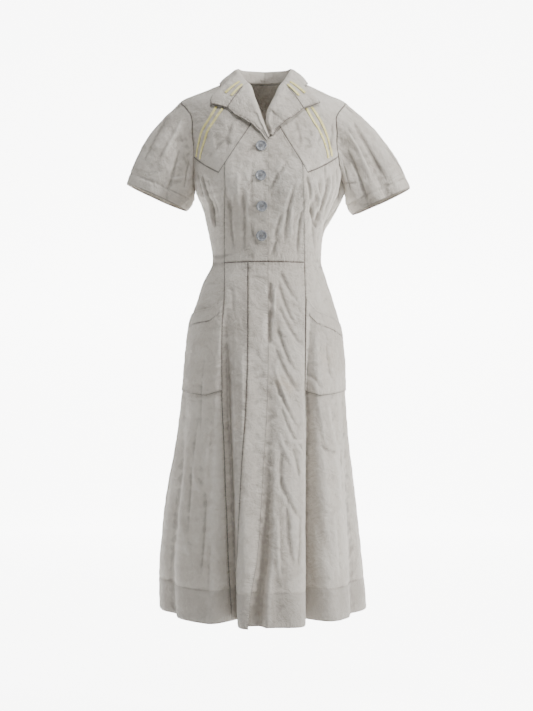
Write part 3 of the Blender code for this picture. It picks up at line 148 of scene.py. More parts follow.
# Armholes, from the shoulder tip down the front, under the arm and up the back
ArmholeRow = namedtuple("ArmholeRow", "right_turn right_height left_turn left_height")
ARMHOLE = (
    ArmholeRow(90.0, -0.036, 90.0, -0.041),
    ArmholeRow(63.0, -0.072, 63.0, -0.074),
    ArmholeRow(66.0, -0.125, 66.0, -0.125),
    ArmholeRow(70.0, -0.171, 66.0, -0.171),
    ArmholeRow(77.0, -0.212, 70.0, -0.210),
    ArmholeRow(90.0, -0.243, 90.0, -0.247),
    ArmholeRow(109.0, -0.210, 110.0, -0.212),
    ArmholeRow(114.0, -0.160, 114.0, -0.162),
    ArmholeRow(115.0, -0.110, 115.0, -0.113),
    ArmholeRow(112.0, -0.067, 112.0, -0.071),
)
YOKE_ARMHOLE_END = 0.30
UNDERARM_SHARE = 0.50
YOKE_ARM_CELLS = 49
SIDE_ARM_CELLS = 32
BACK_ARM_CELLS = 60

# Rows of cells up the panels; a row of the side panels runs along each pocket's bottom and mouth
BELOW_POCKET_ROWS = 120
POCKET_ROWS = 54
ABOVE_POCKET_ROWS = 24
SKIRT_ROWS = BELOW_POCKET_ROWS + POCKET_ROWS + ABOVE_POCKET_ROWS
BODICE_SIDE_ROWS = 50

# Columns of cells across the panels; the yoke and the side panel have a corner on the way
YOKE_LOW_CELLS = 20
YOKE_SEAM_CELLS = 34
YOKE_CORNER_SHARE = 0.40
SIDE_COLUMNS = 56
PRINCESS_COLUMNS = 20
SIDE_CORNER_SHARE = 0.80
FRONT_COLUMNS = 34
RIGHT_SKIRT_COLUMNS = 34
PLACKET_COLUMNS = 16
LEFT_SKIRT_COLUMNS = 56
BACK_SKIRT_COLUMNS = 190
SHOULDER_COLUMNS = YOKE_LOW_CELLS + YOKE_SEAM_CELLS
NECK_COLUMNS = 48

# Points of the front, as distance from the middle plane and height
YOKE_CORNER = {"right": (-0.0995, -0.2146), "left": (0.0942, -0.2161)}
YOKE_TOP_END = {"right": (-0.0125, -0.0810), "left": (0.0105, -0.0756)}
YOKE_NECK = {"right": (-0.0238, -0.0489), "left": (0.0255, -0.0450)}
GORGE = {"right": (-0.0390, -0.0124), "left": (0.0414, -0.0124)}
GORGE_END = {"right": (-0.0810, -0.0696), "left": (0.0850, -0.0715)}
COLLAR_POINT = {"right": (-0.1163, -0.0594), "left": (0.1212, -0.0570)}

# The bodice's neck edge, from the top of the lap to the yoke
NeckRow = namedtuple("NeckRow", "share x height")
FRONT_NECK = {
    "right": (NeckRow(0.0, LAP_EDGE, -0.1370), NeckRow(0.5, -0.0040, -0.1050),
              NeckRow(1.0, *YOKE_TOP_END["right"])),
    "left": (NeckRow(0.0, -0.0100, -0.1500), NeckRow(0.25, 0.0142, -0.1330),
             NeckRow(0.625, 0.0064, -0.1000), NeckRow(1.0, *YOKE_TOP_END["left"])),
}

# The yoke's neck edge: the gorge seam meets it at the third knot
YOKE_NECK_SHARES = (0.0, 3 / 7, 5 / 7, 6 / 7, 1.0)
SIDE_NECK = {"right": (-0.0610, 0.0020), "left": (0.0610, 0.0020)}

# Stations along the whole neck edge, from the top of the lap
YOKE_STATION = 4
GORGE_STATION = 9
SHOULDER_STATION = 11

# Collar and lapels turn over at a roll line and their edges stand off the cloth below by lift
ROLL_BOW = 0.35
ROLL_DROP = 0.0045
ROLL_DROP_SHARE = 0.25
ROLL_SLOPE = 0.58
FALL_KNOTS = (0.0, 0.35, 0.70, 1.0)
FALL_BELLIES = (0.9, 0.8)
GORGE_LIFT = 0.0046
GORGE_BOW = 0.0026
GORGE_BELLY = 0.0060
ROLL_RISE = 0.0046
NECK_GAP = 0.0006
NECK_AXIS = np.array([0.0, 0.006, 0.0])
COLLAR_CORNER = 0.14
COLLAR_SECTIONS = 75
SEAM_SHARES = (0.0, 0.28, 0.48, 0.61, 0.74, 0.87, 1.0)
RollRow = namedtuple("RollRow", "share x y height")
COLLAR_ROLL = (
    RollRow(COLLAR_CORNER, 0.0475, -0.0430, 0.0050),
    RollRow(0.28, 0.0540, -0.0270, 0.0190),
    RollRow(0.48, 0.0590, 0.0060, 0.0350),
    RollRow(0.74, 0.0465, 0.0480, 0.0400),
    RollRow(1.00, 0.0000, 0.0660, 0.0410),
)
FallRow = namedtuple("FallRow", "share turn height lift bow belly")
COLLAR_FALL = (
    FallRow(0.28, 42.0, -0.0306, 0.0046, 0.0018, 0.0050),
    FallRow(0.38, 54.0, -0.0135, 0.0050, 0.0014, 0.0045),
    FallRow(0.48, 91.0, 0.0030, 0.0050, 0.0010, 0.0040),
    FallRow(0.74, 131.0, -0.0080, 0.0050, 0.0008, 0.0040),
    FallRow(1.00, 180.0, -0.0140, 0.0048, 0.0008, 0.0040),
)
POINT_LIFT = 0.0056
POINT_BELLY = 0.0090
LapelRow = namedtuple("LapelRow", "station edge_x edge_height rise lift bow belly")
LAPELS = {
    "right": (
        LapelRow(0.0, 0.0050, -0.1480, 0.0023, 0.0024, 0.0003, 0.0002),
        LapelRow(2.0, -0.0118, -0.1238, 0.0044, 0.0046, 0.0016, 0.0006),
        LapelRow(4.0, -0.0296, -0.1079, 0.0046, 0.0060, 0.0022, 0.0016),
        LapelRow(7.0, -0.0640, -0.0865, 0.0046, 0.0056, 0.0024, 0.0040),
        LapelRow(9.0, *GORGE_END["right"], ROLL_RISE, GORGE_LIFT, GORGE_BOW, GORGE_BELLY),
    ),
    "left": (
        LapelRow(1.0, 0.0190, -0.1350, 0.0034, 0.0026, 0.0008, 0.0004),
        LapelRow(2.5, 0.0285, -0.1195, 0.0042, 0.0046, 0.0014, 0.0008),
        LapelRow(4.0, 0.0430, -0.1050, 0.0046, 0.0060, 0.0022, 0.0018),
        LapelRow(7.0, 0.0660, -0.0882, 0.0046, 0.0056, 0.0024, 0.0040),
        LapelRow(9.0, *GORGE_END["left"], ROLL_RISE, GORGE_LIFT, GORGE_BOW, GORGE_BELLY),
    ),
}

# Sleeves: the hem ring's middle, its half width from the top corner to the underarm, its half
# depth and how far the cap and the cloth below it stand out
SleeveRow = namedtuple("SleeveRow", "middle_x middle_height lean half_width half_depth puff fullness")
SLEEVES = {
    "right": SleeveRow(-0.2420, -0.2566, 24.0, 0.0735, 0.060, 0.013, 0.006),
    "left": SleeveRow(0.2630, -0.2655, 24.5, 0.0705, 0.060, 0.013, 0.006),
}
SLEEVE_ROWS = 56
SLEEVE_SEAM_GAP = 0.0001
TUCK_COUNT = 4
TUCK_SPACING = 0.030
TUCK_DEPTH = 0.0030
TUCK_LENGTH = 0.16
TUCK_START = 0.05
TUCK_SPREAD = 0.28
PUFF_POWER = 0.8
FULLNESS_START = 0.35
SLEEVE_FOLD_START = 0.25

# Sleeve folds by their share of the way round and along
SleeveFold = namedtuple("SleeveFold", "side around_top around_hem width depth_top depth_hem")
SLEEVE_FOLDS = (
    SleeveFold("right", 0.13, 0.17, 0.050, -0.001, -0.006),
    SleeveFold("right", 0.27, 0.32, 0.050, -0.003, -0.006),
    SleeveFold("right", 0.74, 0.80, 0.055, -0.002, -0.006),
    SleeveFold("left", 0.10, 0.21, 0.045, -0.004, -0.010),
    SleeveFold("left", 0.24, 0.34, 0.050, -0.003, -0.007),
    SleeveFold("left", 0.76, 0.70, 0.055, -0.002, -0.006),
)

# Pockets: the mouth falls from the princess seam to the side seam
POCKET_BOTTOM = -0.687
POCKET_MOUTH = -0.484
POCKET_MOUTH_SIDE = {"right": -0.523, "left": -0.5525}
POCKET_COLUMN = 6
POCKET_BELLY = 0.0022

# Braids on the yokes, by distance from the middle plane and height
BRAIDS = {
    "right_yoke_braid_outer": ((-0.1050, -0.0640), (-0.1230, -0.0937), (-0.1372, -0.1171),
                               (-0.1437, -0.1402), (-0.1480, -0.1600), (-0.1490, -0.1735)),
    "right_yoke_braid_inner": ((-0.0915, -0.0690), (-0.1119, -0.0991), (-0.1250, -0.1207),
                               (-0.1325, -0.1441), (-0.1385, -0.1640), (-0.1410, -0.1800)),
    "left_yoke_braid_outer": ((0.1040, -0.0650), (0.1232, -0.0961), (0.1352, -0.1222),
                              (0.1425, -0.1450), (0.1470, -0.1620), (0.1480, -0.1745)),
    "left_yoke_braid_inner": ((0.0920, -0.0690), (0.1086, -0.1002), (0.1241, -0.1262),
                              (0.1325, -0.1480), (0.1380, -0.1660), (0.1400, -0.1800)),
}

# Braids on the collar run beside its gorge end, from near the roll to near the edge
COLLAR_BRAIDS = (("inner", 0.03), ("outer", 0.10))
COLLAR_BRAID_START = 0.12
COLLAR_BRAID_END = 0.62

SIDES = {"right": -1.0, "left": 1.0}

Fold = namedtuple("Fold", "path width_top width_bottom depth_top depth_bottom fade_top fade_bottom")


def smooth_read(heights, values, at):
    """Cubic curve through a table's values, read at any place."""
    order = np.argsort(heights)
    x = np.asarray(heights, float)[order]
    y = np.asarray(values, float)[order]
    slope = np.gradient(y, x)
    at = np.clip(at, x[0], x[-1])
    i = np.clip(np.searchsorted(x, at) - 1, 0, len(x) - 2)
    step = x[i + 1] - x[i]
    q = (at - x[i]) / step
    return ((1 + 2 * q) * (1 - q) ** 2 * y[i] + q * (1 - q) ** 2 * step * slope[i]
            + q * q * (3 - 2 * q) * y[i + 1] + q * q * (q - 1) * step * slope[i + 1])


def read_columns(knots, points, at):
    """A smooth curve through points, read at any place."""
    return np.stack([smooth_read(knots, column, at) for column in np.moveaxis(points, -1, 0)], axis=-1)


def ease(q):
    """Zero to one with level ends."""
    q = np.clip(q, 0.0, 1.0)
    return q * q * (3 - 2 * q)


def body_column(name, height):
    return smooth_read([row.height for row in BODY], [getattr(row, name) for row in BODY], height)


def turn_at(x, height):
    """The turn on the front at a distance x from the middle plane."""
    right = body_column("right", height)
    left = body_column("left", height)
    middle = (left - right) / 2
    ratio = np.clip((x - middle) / ((left + right) / 2), -1, 1)
    return np.arcsin(np.sign(ratio) * np.abs(ratio) ** (body_column("power", height) / 2))


def body_x(turn, height):
    """Distance from the middle plane at a turn, before any fold."""
    right = body_column("right", height)
    left = body_column("left", height)
    sine = np.sin(turn)
    reach = np.sign(sine) * np.abs(sine) ** (2 / body_column("power", height))
    return (left - right) / 2 + (left + right) / 2 * reach


def princess_turn(side, height):
    x = smooth_read([row.height for row in PRINCESS], [getattr(row, side) for row in PRINCESS], height)
    return turn_at(x, height)


def princess_path(side, shift, heights=(-0.50, -0.62, -0.76, -0.92, -1.06, -1.18)):
    """Heights and turns along a princess seam, moved sideways by shift metres."""
    path = []
    for height in heights:
        x = smooth_read([row.height for row in PRINCESS], [getattr(row, side) for row in PRINCESS], height)
        path.append((height, float(turn_at(x + shift, height))))
    return path


def turned_path(*rows):
    """Rows of height and turn in degrees."""
    return [(height, math.radians(degrees)) for height, degrees in rows]


# Troughs have a negative depth and ridges a positive one
FOLDS = (
    # skirt, front
    Fold(princess_path("right", 0.010), 0.008, 0.021, 0.0, -0.076, 0.0, 0.0),
    Fold(princess_path("right", 0.052), 0.016, 0.030, 0.0, 0.014, 0.0, 0.0),
    Fold(princess_path("left", 0.008), 0.008, 0.022, 0.0, -0.079, 0.0, 0.0),
    Fold(princess_path("left", -0.045), 0.016, 0.034, 0.0, 0.016, 0.0, 0.0),
    Fold(turned_path((-0.46, -8), (-0.80, -6), (-1.18, -3)), 0.020, 0.040, 0.0, 0.012, 0.0, 0.0),
    # skirt, sides
    Fold(turned_path((-0.66, -70), (-0.90, -66), (-1.18, -63)), 0.018, 0.034, 0.0, -0.020, 0.0, 0.0),
    Fold(turned_path((-0.66, 72), (-0.90, 68), (-1.18, 64)), 0.018, 0.034, 0.0, -0.018, 0.0, 0.0),
    Fold(turned_path((-0.60, 100), (-0.90, 102), (-1.18, 104)), 0.020, 0.034, 0.0, -0.030, 0.0, 0.0),
    Fold(turned_path((-0.60, -98), (-0.90, -101), (-1.18, -104)), 0.020, 0.034, 0.0, -0.026, 0.0, 0.0),
    # skirt, back
    Fold(turned_path((-0.52, 134), (-0.85, 136), (-1.18, 138)), 0.014, 0.030, 0.0, -0.050, 0.0, 0.0),
    Fold(turned_path((-0.52, -136), (-0.85, -139), (-1.18, -141)), 0.014, 0.028, 0.0, -0.046, 0.0, 0.0),
    Fold(turned_path((-0.58, 166), (-0.85, 166), (-1.18, 167)), 0.014, 0.026, 0.0, -0.030, 0.0, 0.0),
    Fold(turned_path((-0.62, -164), (-0.85, -166), (-1.18, -168)), 0.014, 0.026, 0.0, -0.034, 0.0, 0.0),
    # soft pleats below the yoke on the wearer's right
    Fold(turned_path((-0.204, -59), (-0.240, -58), (-0.335, -52)),
         0.006, 0.007, -0.0050, -0.0060, 0.020, 0.050),
    Fold(turned_path((-0.200, -65), (-0.240, -66), (-0.300, -66)),
         0.006, 0.008, -0.0035, -0.0040, 0.020, 0.050),
    Fold(turned_path((-0.212, -51), (-0.260, -50), (-0.330, -49)),
         0.006, 0.007, -0.0030, -0.0050, 0.020, 0.050),
    Fold(turned_path((-0.205, -35), (-0.260, -34), (-0.330, -31)),
         0.008, 0.009, -0.0025, -0.0035, 0.030, 0.050),
    # soft pleats below the yoke on the wearer's left
    Fold(turned_path((-0.212, 46), (-0.290, 47), (-0.345, 53)), 0.006, 0.009, -0.0060, -0.0110, 0.020, 0.050),
    Fold(turned_path((-0.206, 53), (-0.270, 53), (-0.330, 59)), 0.006, 0.008, -0.0030, -0.0050, 0.020, 0.050),
    Fold(turned_path((-0.190, 60), (-0.250, 60), (-0.310, 62)), 0.006, 0.008, -0.0030, -0.0040, 0.020, 0.050),
    Fold(turned_path((-0.205, 71), (-0.260, 71), (-0.345, 76)), 0.013, 0.014, -0.0110, -0.0120, 0.030, 0.060),
    Fold(turned_path((-0.195, 32), (-0.230, 26), (-0.260, 19)), 0.007, 0.010, -0.0050, -0.0030, 0.030, 0.040),
    Fold(turned_path((-0.215, 38), (-0.270, 36), (-0.330, 34)), 0.007, 0.009, -0.0035, -0.0030, 0.030, 0.050),
    # slack at the back of the waist
    Fold(turned_path((-0.300, 128), (-0.350, 130), (-0.420, 132)),
         0.014, 0.016, -0.0030, -0.0050, 0.040, 0.060),
    Fold(turned_path((-0.300, -128), (-0.350, -131), (-0.420, -133)),
         0.014, 0.016, -0.0030, -0.0050, 0.040, 0.060),
    Fold(turned_path((-0.320, 158), (-0.360, 160), (-0.420, 162)),
         0.014, 0.016, -0.0020, -0.0040, 0.040, 0.060),
    Fold(turned_path((-0.320, -158), (-0.360, -160), (-0.420, -162)),
         0.014, 0.016, -0.0020, -0.0040, 0.040, 0.060),
)


def fold_depth(turn, height, radius):
    """How far the folds move the cloth out at a place."""
    total = np.zeros_like(turn)
    for fold in FOLDS:
        heights = [row[0] for row in fold.path]
        top, bottom = max(heights), min(heights)
        along = np.clip((top - height) / (top - bottom), 0.0, 1.0)
        centre = smooth_read(heights, [row[1] for row in fold.path], height)
        width = fold.width_top + (fold.width_bottom - fold.width_top) * along
        depth = fold.depth_top + (fold.depth_bottom - fold.depth_top) * along
        if fold.fade_top:
            depth = depth * ease((top - height) / fold.fade_top)
        if fold.fade_bottom:
            depth = depth * ease((height - bottom) / fold.fade_bottom)
        across = (turn - centre + math.pi) % (2 * math.pi) - math.pi
        total = total + depth * np.exp(-(across * radius / width) ** 2)
    return total

# Creases: on the front across is the distance from the middle plane, elsewhere it is the turn in
# degrees. A crease is sharper on one side, and bends by bend metres at its middle.
Crease = namedtuple("Crease", "start_across start_height end_across end_height bend width depth")
ROUND_RADIUS = 0.17
CREASE_TAPER = 0.30
SHARP_SIDE = 0.50
CREASE_STRENGTH = 1.35
FRONT_CREASES = (
    # right front bodice and yoke
    Crease(-0.1170, -0.2580, -0.1040, -0.3380, 0.0030, 0.0034, -0.0032),
    Crease(-0.1220, -0.2700, -0.1110, -0.3300, 0.0020, 0.0040, 0.0018),
    Crease(-0.1346, -0.2080, -0.1120, -0.2780, 0.0030, 0.0045, -0.0022),
    Crease(-0.1450, -0.2220, -0.1280, -0.3050, 0.0020, 0.0050, -0.0020),
    Crease(-0.0960, -0.2300, -0.0930, -0.3000, -0.0020, 0.0050, -0.0014),
    Crease(-0.0740, -0.2500, -0.0640, -0.3900, 0.0040, 0.0060, -0.0022),
    Crease(-0.0560, -0.2050, -0.0530, -0.3000, 0.0020, 0.0060, 0.0014),
    Crease(-0.0470, -0.2400, -0.0440, -0.3860, -0.0030, 0.0055, -0.0018),
    Crease(-0.0330, -0.2500, -0.0350, -0.3300, 0.0010, 0.0050, 0.0012),
    Crease(-0.0220, -0.1700, -0.0260, -0.3000, 0.0030, 0.0050, -0.0012),
    Crease(-0.0300, -0.3100, -0.0120, -0.3800, 0.0030, 0.0045, -0.0014),
    Crease(-0.0150, -0.1620, -0.0420, -0.1750, 0.0020, 0.0050, -0.0012),
    Crease(-0.0160, -0.2290, -0.0400, -0.2520, 0.0020, 0.0050, -0.0012),
    Crease(-0.0645, -0.0900, -0.0800, -0.1650, 0.0050, 0.0080, -0.0014),
    Crease(-0.1160, -0.1000, -0.0980, -0.1900, 0.0050, 0.0090, 0.0012),
    Crease(-0.0780, -0.1350, -0.1250, -0.1900, 0.0050, 0.0080, -0.0010),
    # left front bodice and yoke
    Crease(0.0900, -0.2150, 0.1000, -0.2820, -0.0030, 0.0040, -0.0034),
    Crease(0.0990, -0.2750, 0.1190, -0.3340, 0.0030, 0.0036, -0.0036),
    Crease(0.1090, -0.2200, 0.1270, -0.3360, -0.0030, 0.0046, 0.0034),
    Crease(0.0520, -0.1930, 0.0150, -0.2560, 0.0040, 0.0050, -0.0034),
    Crease(0.0430, -0.1900, 0.0300, -0.2350, 0.0020, 0.0046, 0.0018),
    Crease(0.0700, -0.2300, 0.0440, -0.3820, 0.0060, 0.0056, -0.0024),
    Crease(0.0810, -0.2900, 0.0730, -0.3990, 0.0020, 0.0044, -0.0022),
    Crease(0.0420, -0.2950, 0.0240, -0.3650, 0.0030, 0.0046, -0.0020),
    Crease(0.0560, -0.2700, 0.0560, -0.3700, -0.0030, 0.0050, 0.0016),
    Crease(0.1040, -0.2600, 0.1130, -0.3850, 0.0020, 0.0060, -0.0020),
    Crease(0.0330, -0.3500, 0.0180, -0.3950, 0.0020, 0.0040, -0.0024),
    Crease(0.0640, -0.0900, 0.0790, -0.1650, -0.0050, 0.0080, -0.0014),
    Crease(0.1150, -0.0950, 0.1000, -0.1900, -0.0050, 0.0090, 0.0014),
    Crease(0.1500, -0.0900, 0.1440, -0.1700, -0.0030, 0.0060, -0.0018),
    Crease(0.1330, -0.1850, 0.1400, -0.2600, 0.0030, 0.0050, -0.0022),
    # right front skirt and its gore
    Crease(-0.0690, -0.4400, -0.0640, -0.5400, 0.0020, 0.0070, -0.0012),
    Crease(-0.0680, -0.5200, -0.0590, -0.7500, 0.0040, 0.0070, -0.0018),
    Crease(-0.0490, -0.5700, -0.0480, -0.8200, -0.0030, 0.0070, 0.0014),
    Crease(-0.0600, -0.7700, -0.0520, -0.9300, 0.0040, 0.0070, -0.0020),
    Crease(-0.0700, -0.8800, -0.0540, -1.0300, 0.0050, 0.0070, -0.0024),
    Crease(-0.0460, -0.9000, -0.0560, -1.0700, 0.0030, 0.0060, -0.0018),
    Crease(-0.1260, -0.5950, -0.1400, -0.8200, 0.0050, 0.0090, -0.0018),
    Crease(-0.1500, -0.5600, -0.1600, -0.7000, 0.0040, 0.0090, 0.0012),
    Crease(-0.1420, -0.7100, -0.1640, -1.0200, 0.0060, 0.0100, -0.0024),
    Crease(-0.1160, -0.7300, -0.1240, -0.9300, 0.0040, 0.0080, 0.0018),
    Crease(-0.1750, -0.7700, -0.1960, -1.0700, 0.0060, 0.0110, -0.0022),
    Crease(-0.1270, -0.8600, -0.1390, -1.1000, -0.0050, 0.0090, -0.0024),
    Crease(-0.1120, -0.9900, -0.1180, -1.1200, 0.0030, 0.0070, -0.0020),
    Crease(-0.1600, -0.8000, -0.1300, -0.9200, 0.0080, 0.0080, 0.0014),
    Crease(-0.1850, -0.9300, -0.1500, -1.0600, 0.0060, 0.0090, 0.0014),
    # left front skirt: drag lines down from the waist and crumpled cloth beside the lap
    Crease(0.0130, -0.4480, 0.0150, -0.5000, 0.0010, 0.0070, -0.0042),
    Crease(0.0140, -0.5050, 0.0120, -0.5950, 0.0020, 0.0075, -0.0046),
    Crease(0.0250, -0.4600, 0.0230, -0.5300, 0.0020, 0.0044, 0.0028),
    Crease(0.0330, -0.4180, 0.0780, -0.5000, 0.0050, 0.0056, -0.0022),
    Crease(0.0300, -0.4400, 0.0700, -0.5500, 0.0060, 0.0056, -0.0026),
    Crease(0.0270, -0.4900, 0.0820, -0.5900, 0.0050, 0.0060, -0.0024),
    Crease(0.0250, -0.5300, 0.0670, -0.6460, 0.0060, 0.0056, -0.0028),
    Crease(0.0220, -0.5850, 0.0760, -0.6950, 0.0050, 0.0060, -0.0026),
    Crease(0.0200, -0.6200, 0.0580, -0.7300, 0.0040, 0.0056, 0.0020),
    Crease(0.0220, -0.6500, 0.0740, -0.7700, 0.0050, 0.0056, -0.0028),
    Crease(0.0320, -0.7050, 0.0860, -0.8250, 0.0060, 0.0060, -0.0028),
    Crease(0.0270, -0.7600, 0.0700, -0.8600, 0.0050, 0.0054, 0.0024),
    Crease(0.0560, -0.7850, 0.0830, -0.8300, -0.0030, 0.0048, 0.0030),
    Crease(0.0580, -0.7900, 0.0860, -0.7930, 0.0020, 0.0044, 0.0024),
    Crease(0.0560, -0.8000, 0.0740, -0.8800, -0.0030, 0.0050, -0.0026),
    Crease(0.0380, -0.8100, 0.0400, -0.9100, 0.0040, 0.0054, -0.0024),
    Crease(0.0300, -0.8600, 0.0760, -0.9600, 0.0050, 0.0060, -0.0026),
    Crease(0.0480, -0.9000, 0.0600, -1.0600, 0.0050, 0.0064, -0.0026),
    Crease(0.0280, -0.9300, 0.0330, -1.0900, 0.0030, 0.0060, 0.0026),
    Crease(0.0720, -0.9300, 0.0640, -1.0700, -0.0040, 0.0060, -0.0022),
    Crease(0.0300, -0.5600, 0.0500, -0.5720, 0.0020, 0.0040, -0.0018),
    Crease(0.0240, -0.6900, 0.0480, -0.6980, 0.0020, 0.0040, -0.0022),
    # left gore
    Crease(0.1040, -0.6400, 0.1290, -0.6880, 0.0030, 0.0050, -0.0028),
    Crease(0.1340, -0.5650, 0.1480, -0.6700, 0.0040, 0.0070, -0.0016),
    Crease(0.1150, -0.7030, 0.1400, -0.8350, 0.0050, 0.0070, -0.0026),
    Crease(0.1390, -0.7000, 0.1600, -0.8200, 0.0050, 0.0080, 0.0018),
    Crease(0.1100, -0.7900, 0.1640, -0.8250, 0.0040, 0.0070, -0.0018),
    Crease(0.1160, -0.8400, 0.1480, -1.0800, 0.0060, 0.0080, -0.0026),
    Crease(0.1700, -0.7600, 0.1900, -1.0400, 0.0060, 0.0090, -0.0022),
    Crease(0.1500, -0.9400, 0.1620, -1.1100, 0.0040, 0.0080, 0.0020),
    Crease(0.1240, -0.9500, 0.1320, -1.0900, 0.0040, 0.0070, 0.0016),
)
ROUND_CREASES = (
    # sides of the bodice, from the armholes
    Crease(84.0, -0.2600, 78.0, -0.3500, 0.0040, 0.0060, -0.0026),
    Crease(96.0, -0.2550, 100.0, -0.3400, 0.0040, 0.0060, -0.0024),
    Crease(88.0, -0.3200, 92.0, -0.4200, 0.0030, 0.0070, -0.0018),
    Crease(-83.0, -0.2560, -77.0, -0.3400, 0.0040, 0.0060, -0.0024),
    Crease(-97.0, -0.2550, -104.0, -0.3500, 0.0040, 0.0060, -0.0026),
    Crease(-90.0, -0.3300, -87.0, -0.4200, 0.0030, 0.0070, -0.0020),
    # across the side seams of the skirt
    Crease(82.0, -0.4800, 98.0, -0.5600, 0.0060, 0.0080, -0.0018),
    Crease(95.0, -0.6200, 88.0, -0.8600, 0.0080, 0.0100, -0.0026),
    Crease(78.0, -0.7200, 82.0, -1.0200, 0.0080, 0.0100, 0.0022),
    Crease(108.0, -0.6800, 112.0, -0.9800, 0.0080, 0.0100, -0.0026),
    Crease(-80.0, -0.4700, -97.0, -0.5500, 0.0060, 0.0080, -0.0018),
    Crease(-94.0, -0.6400, -90.0, -0.8900, 0.0080, 0.0100, -0.0026),
    Crease(-79.0, -0.7500, -84.0, -1.0500, 0.0080, 0.0100, 0.0022),
    Crease(-109.0, -0.6600, -113.0, -0.9600, 0.0080, 0.0100, -0.0026),
    # back of the bodice
    Crease(126.0, -0.1600, 150.0, -0.2300, 0.0060, 0.0070, -0.0022),
    Crease(122.0, -0.2300, 146.0, -0.3000, 0.0070, 0.0070, -0.0024),
    Crease(130.0, -0.3200, 168.0, -0.3500, 0.0060, 0.0070, -0.0026),
    Crease(140.0, -0.3700, 172.0, -0.3800, 0.0040, 0.0060, -0.0022),
    Crease(-126.0, -0.1700, -148.0, -0.2400, 0.0060, 0.0070, -0.0022),
    Crease(-121.0, -0.2400, -150.0, -0.3100, 0.0070, 0.0070, -0.0024),
    Crease(-134.0, -0.3300, -164.0, -0.3450, 0.0060, 0.0070, -0.0026),
    Crease(-142.0, -0.3760, -170.0, -0.3700, 0.0040, 0.0060, -0.0020),
    Crease(176.0, -0.0500, 171.0, -0.2000, 0.0060, 0.0090, -0.0014),
    Crease(158.0, -0.1900, 163.0, -0.3100, 0.0050, 0.0080, 0.0016),
    Crease(-160.0, -0.2000, -165.0, -0.3200, 0.0050, 0.0080, 0.0016),
    # back of the skirt
    Crease(120.0, -0.4300, 134.0, -0.5600, 0.0060, 0.0070, -0.0022),
    Crease(150.0, -0.4200, 160.0, -0.6000, 0.0060, 0.0080, -0.0022),
    Crease(178.0, -0.4400, 174.0, -0.6600, 0.0060, 0.0080, -0.0018),
    Crease(-122.0, -0.4350, -136.0, -0.5700, 0.0060, 0.0070, -0.0022),
    Crease(-152.0, -0.4300, -158.0, -0.6200, 0.0060, 0.0080, -0.0022),
    Crease(124.0, -0.6500, 120.0, -0.9800, 0.0080, 0.0100, -0.0028),
    Crease(146.0, -0.6900, 152.0, -1.0300, 0.0080, 0.0100, -0.0026),
    Crease(158.0, -0.7600, 150.0, -0.9200, 0.0060, 0.0090, 0.0020),
    Crease(172.0, -0.7200, 179.0, -1.0600, 0.0080, 0.0100, -0.0028),
    Crease(-124.0, -0.6400, -122.0, -0.9400, 0.0080, 0.0100, -0.0026),
    Crease(-150.0, -0.7000, -155.0, -1.0500, 0.0080, 0.0100, -0.0028),
    Crease(-132.0, -0.8200, -128.0, -1.0600, 0.0060, 0.0090, 0.0020),
    Crease(-172.0, -0.8200, -176.0, -1.0200, 0.0060, 0.0090, 0.0020),
    Crease(140.0, -0.5900, 160.0, -0.6500, 0.0060, 0.0080, -0.0018),
    Crease(-140.0, -0.6100, -162.0, -0.6600, 0.0060, 0.0080, -0.0018),
)


def crease_depth(across, height, creases):
    """How far creases move the cloth out, with across in metres."""
    total = np.zeros_like(across)
    for crease in creases:
        run, fall = crease.end_across - crease.start_across, crease.end_height - crease.start_height
        length = math.hypot(run, fall)
        step_across, step_height = across - crease.start_across, height - crease.start_height
        along = (step_across * run + step_height * fall) / length ** 2
        near = (along > 0) & (along < 1)
        q = along[near]
        beside = (step_across * fall - step_height * run)[near] / length - crease.bend * 4 * q * (1 - q)
        width = np.where(beside > 0, crease.width, crease.width * SHARP_SIDE)
        taper = ease(q / CREASE_TAPER) * ease((1 - q) / CREASE_TAPER)
        total[near] += CREASE_STRENGTH * crease.depth * np.exp(-(beside / width) ** 2) * taper
    return total


def rounded(crease):
    """A crease given by turns in degrees, by lengths round the body instead."""
    return crease._replace(start_across=math.radians(crease.start_across) * ROUND_RADIUS,
                           end_across=math.radians(crease.end_across) * ROUND_RADIUS)


ROUND_CREASES = [rounded(crease) for crease in ROUND_CREASES]

# Small irregular ripples of the whole cloth: wave lengths in metres, direction in degrees, height
Ripple = namedtuple("Ripple", "length degrees phase height")
RIPPLES = (
    Ripple(0.061, 12.0, 0.3, 0.00050), Ripple(0.043, 74.0, 1.1, 0.00032), Ripple(0.029, -38.0, 2.4, 0.00022),
    Ripple(0.023, 55.0, 4.0, 0.00013), Ripple(0.017, -12.0, 5.2, 0.00008),
)


def ripple_depth(x, y, height):
    """Uneven low ripples: each wave's phase is bent by the one before it."""
    across = x + 0.8 * y
    total = np.zeros_like(across)
    bend = np.zeros_like(across)
    for ripple in RIPPLES:
        angle = math.radians(ripple.degrees)
        travel = across * math.cos(angle) + height * math.sin(angle)
        wave = np.sin(2 * math.pi * travel / ripple.length + ripple.phase + 1.7 * bend)
        bend = bend + wave
        total = total + ripple.height * wave
    return total

# Relief at seams and hems
SEAM_DIP = 0.0008
SEAM_DIP_WIDTH = 0.0022
PUCKER_REACH = 0.0070
PUCKER_HEIGHT = 0.00045
PUCKER_LENGTH = 0.0105
HEM_BAND = 0.068
HEM_GROOVE = 0.0009
HEM_GROOVE_WIDTH = 0.0030
HEM_THICKER = 0.0004


def band_relief(away):
    """A turned-up band is thicker, with its stitches drawn in where away from them is zero."""
    return HEM_THICKER * ease(-away / HEM_GROOVE_WIDTH) - HEM_GROOVE * np.exp(-(away / HEM_GROOVE_WIDTH) ** 2)


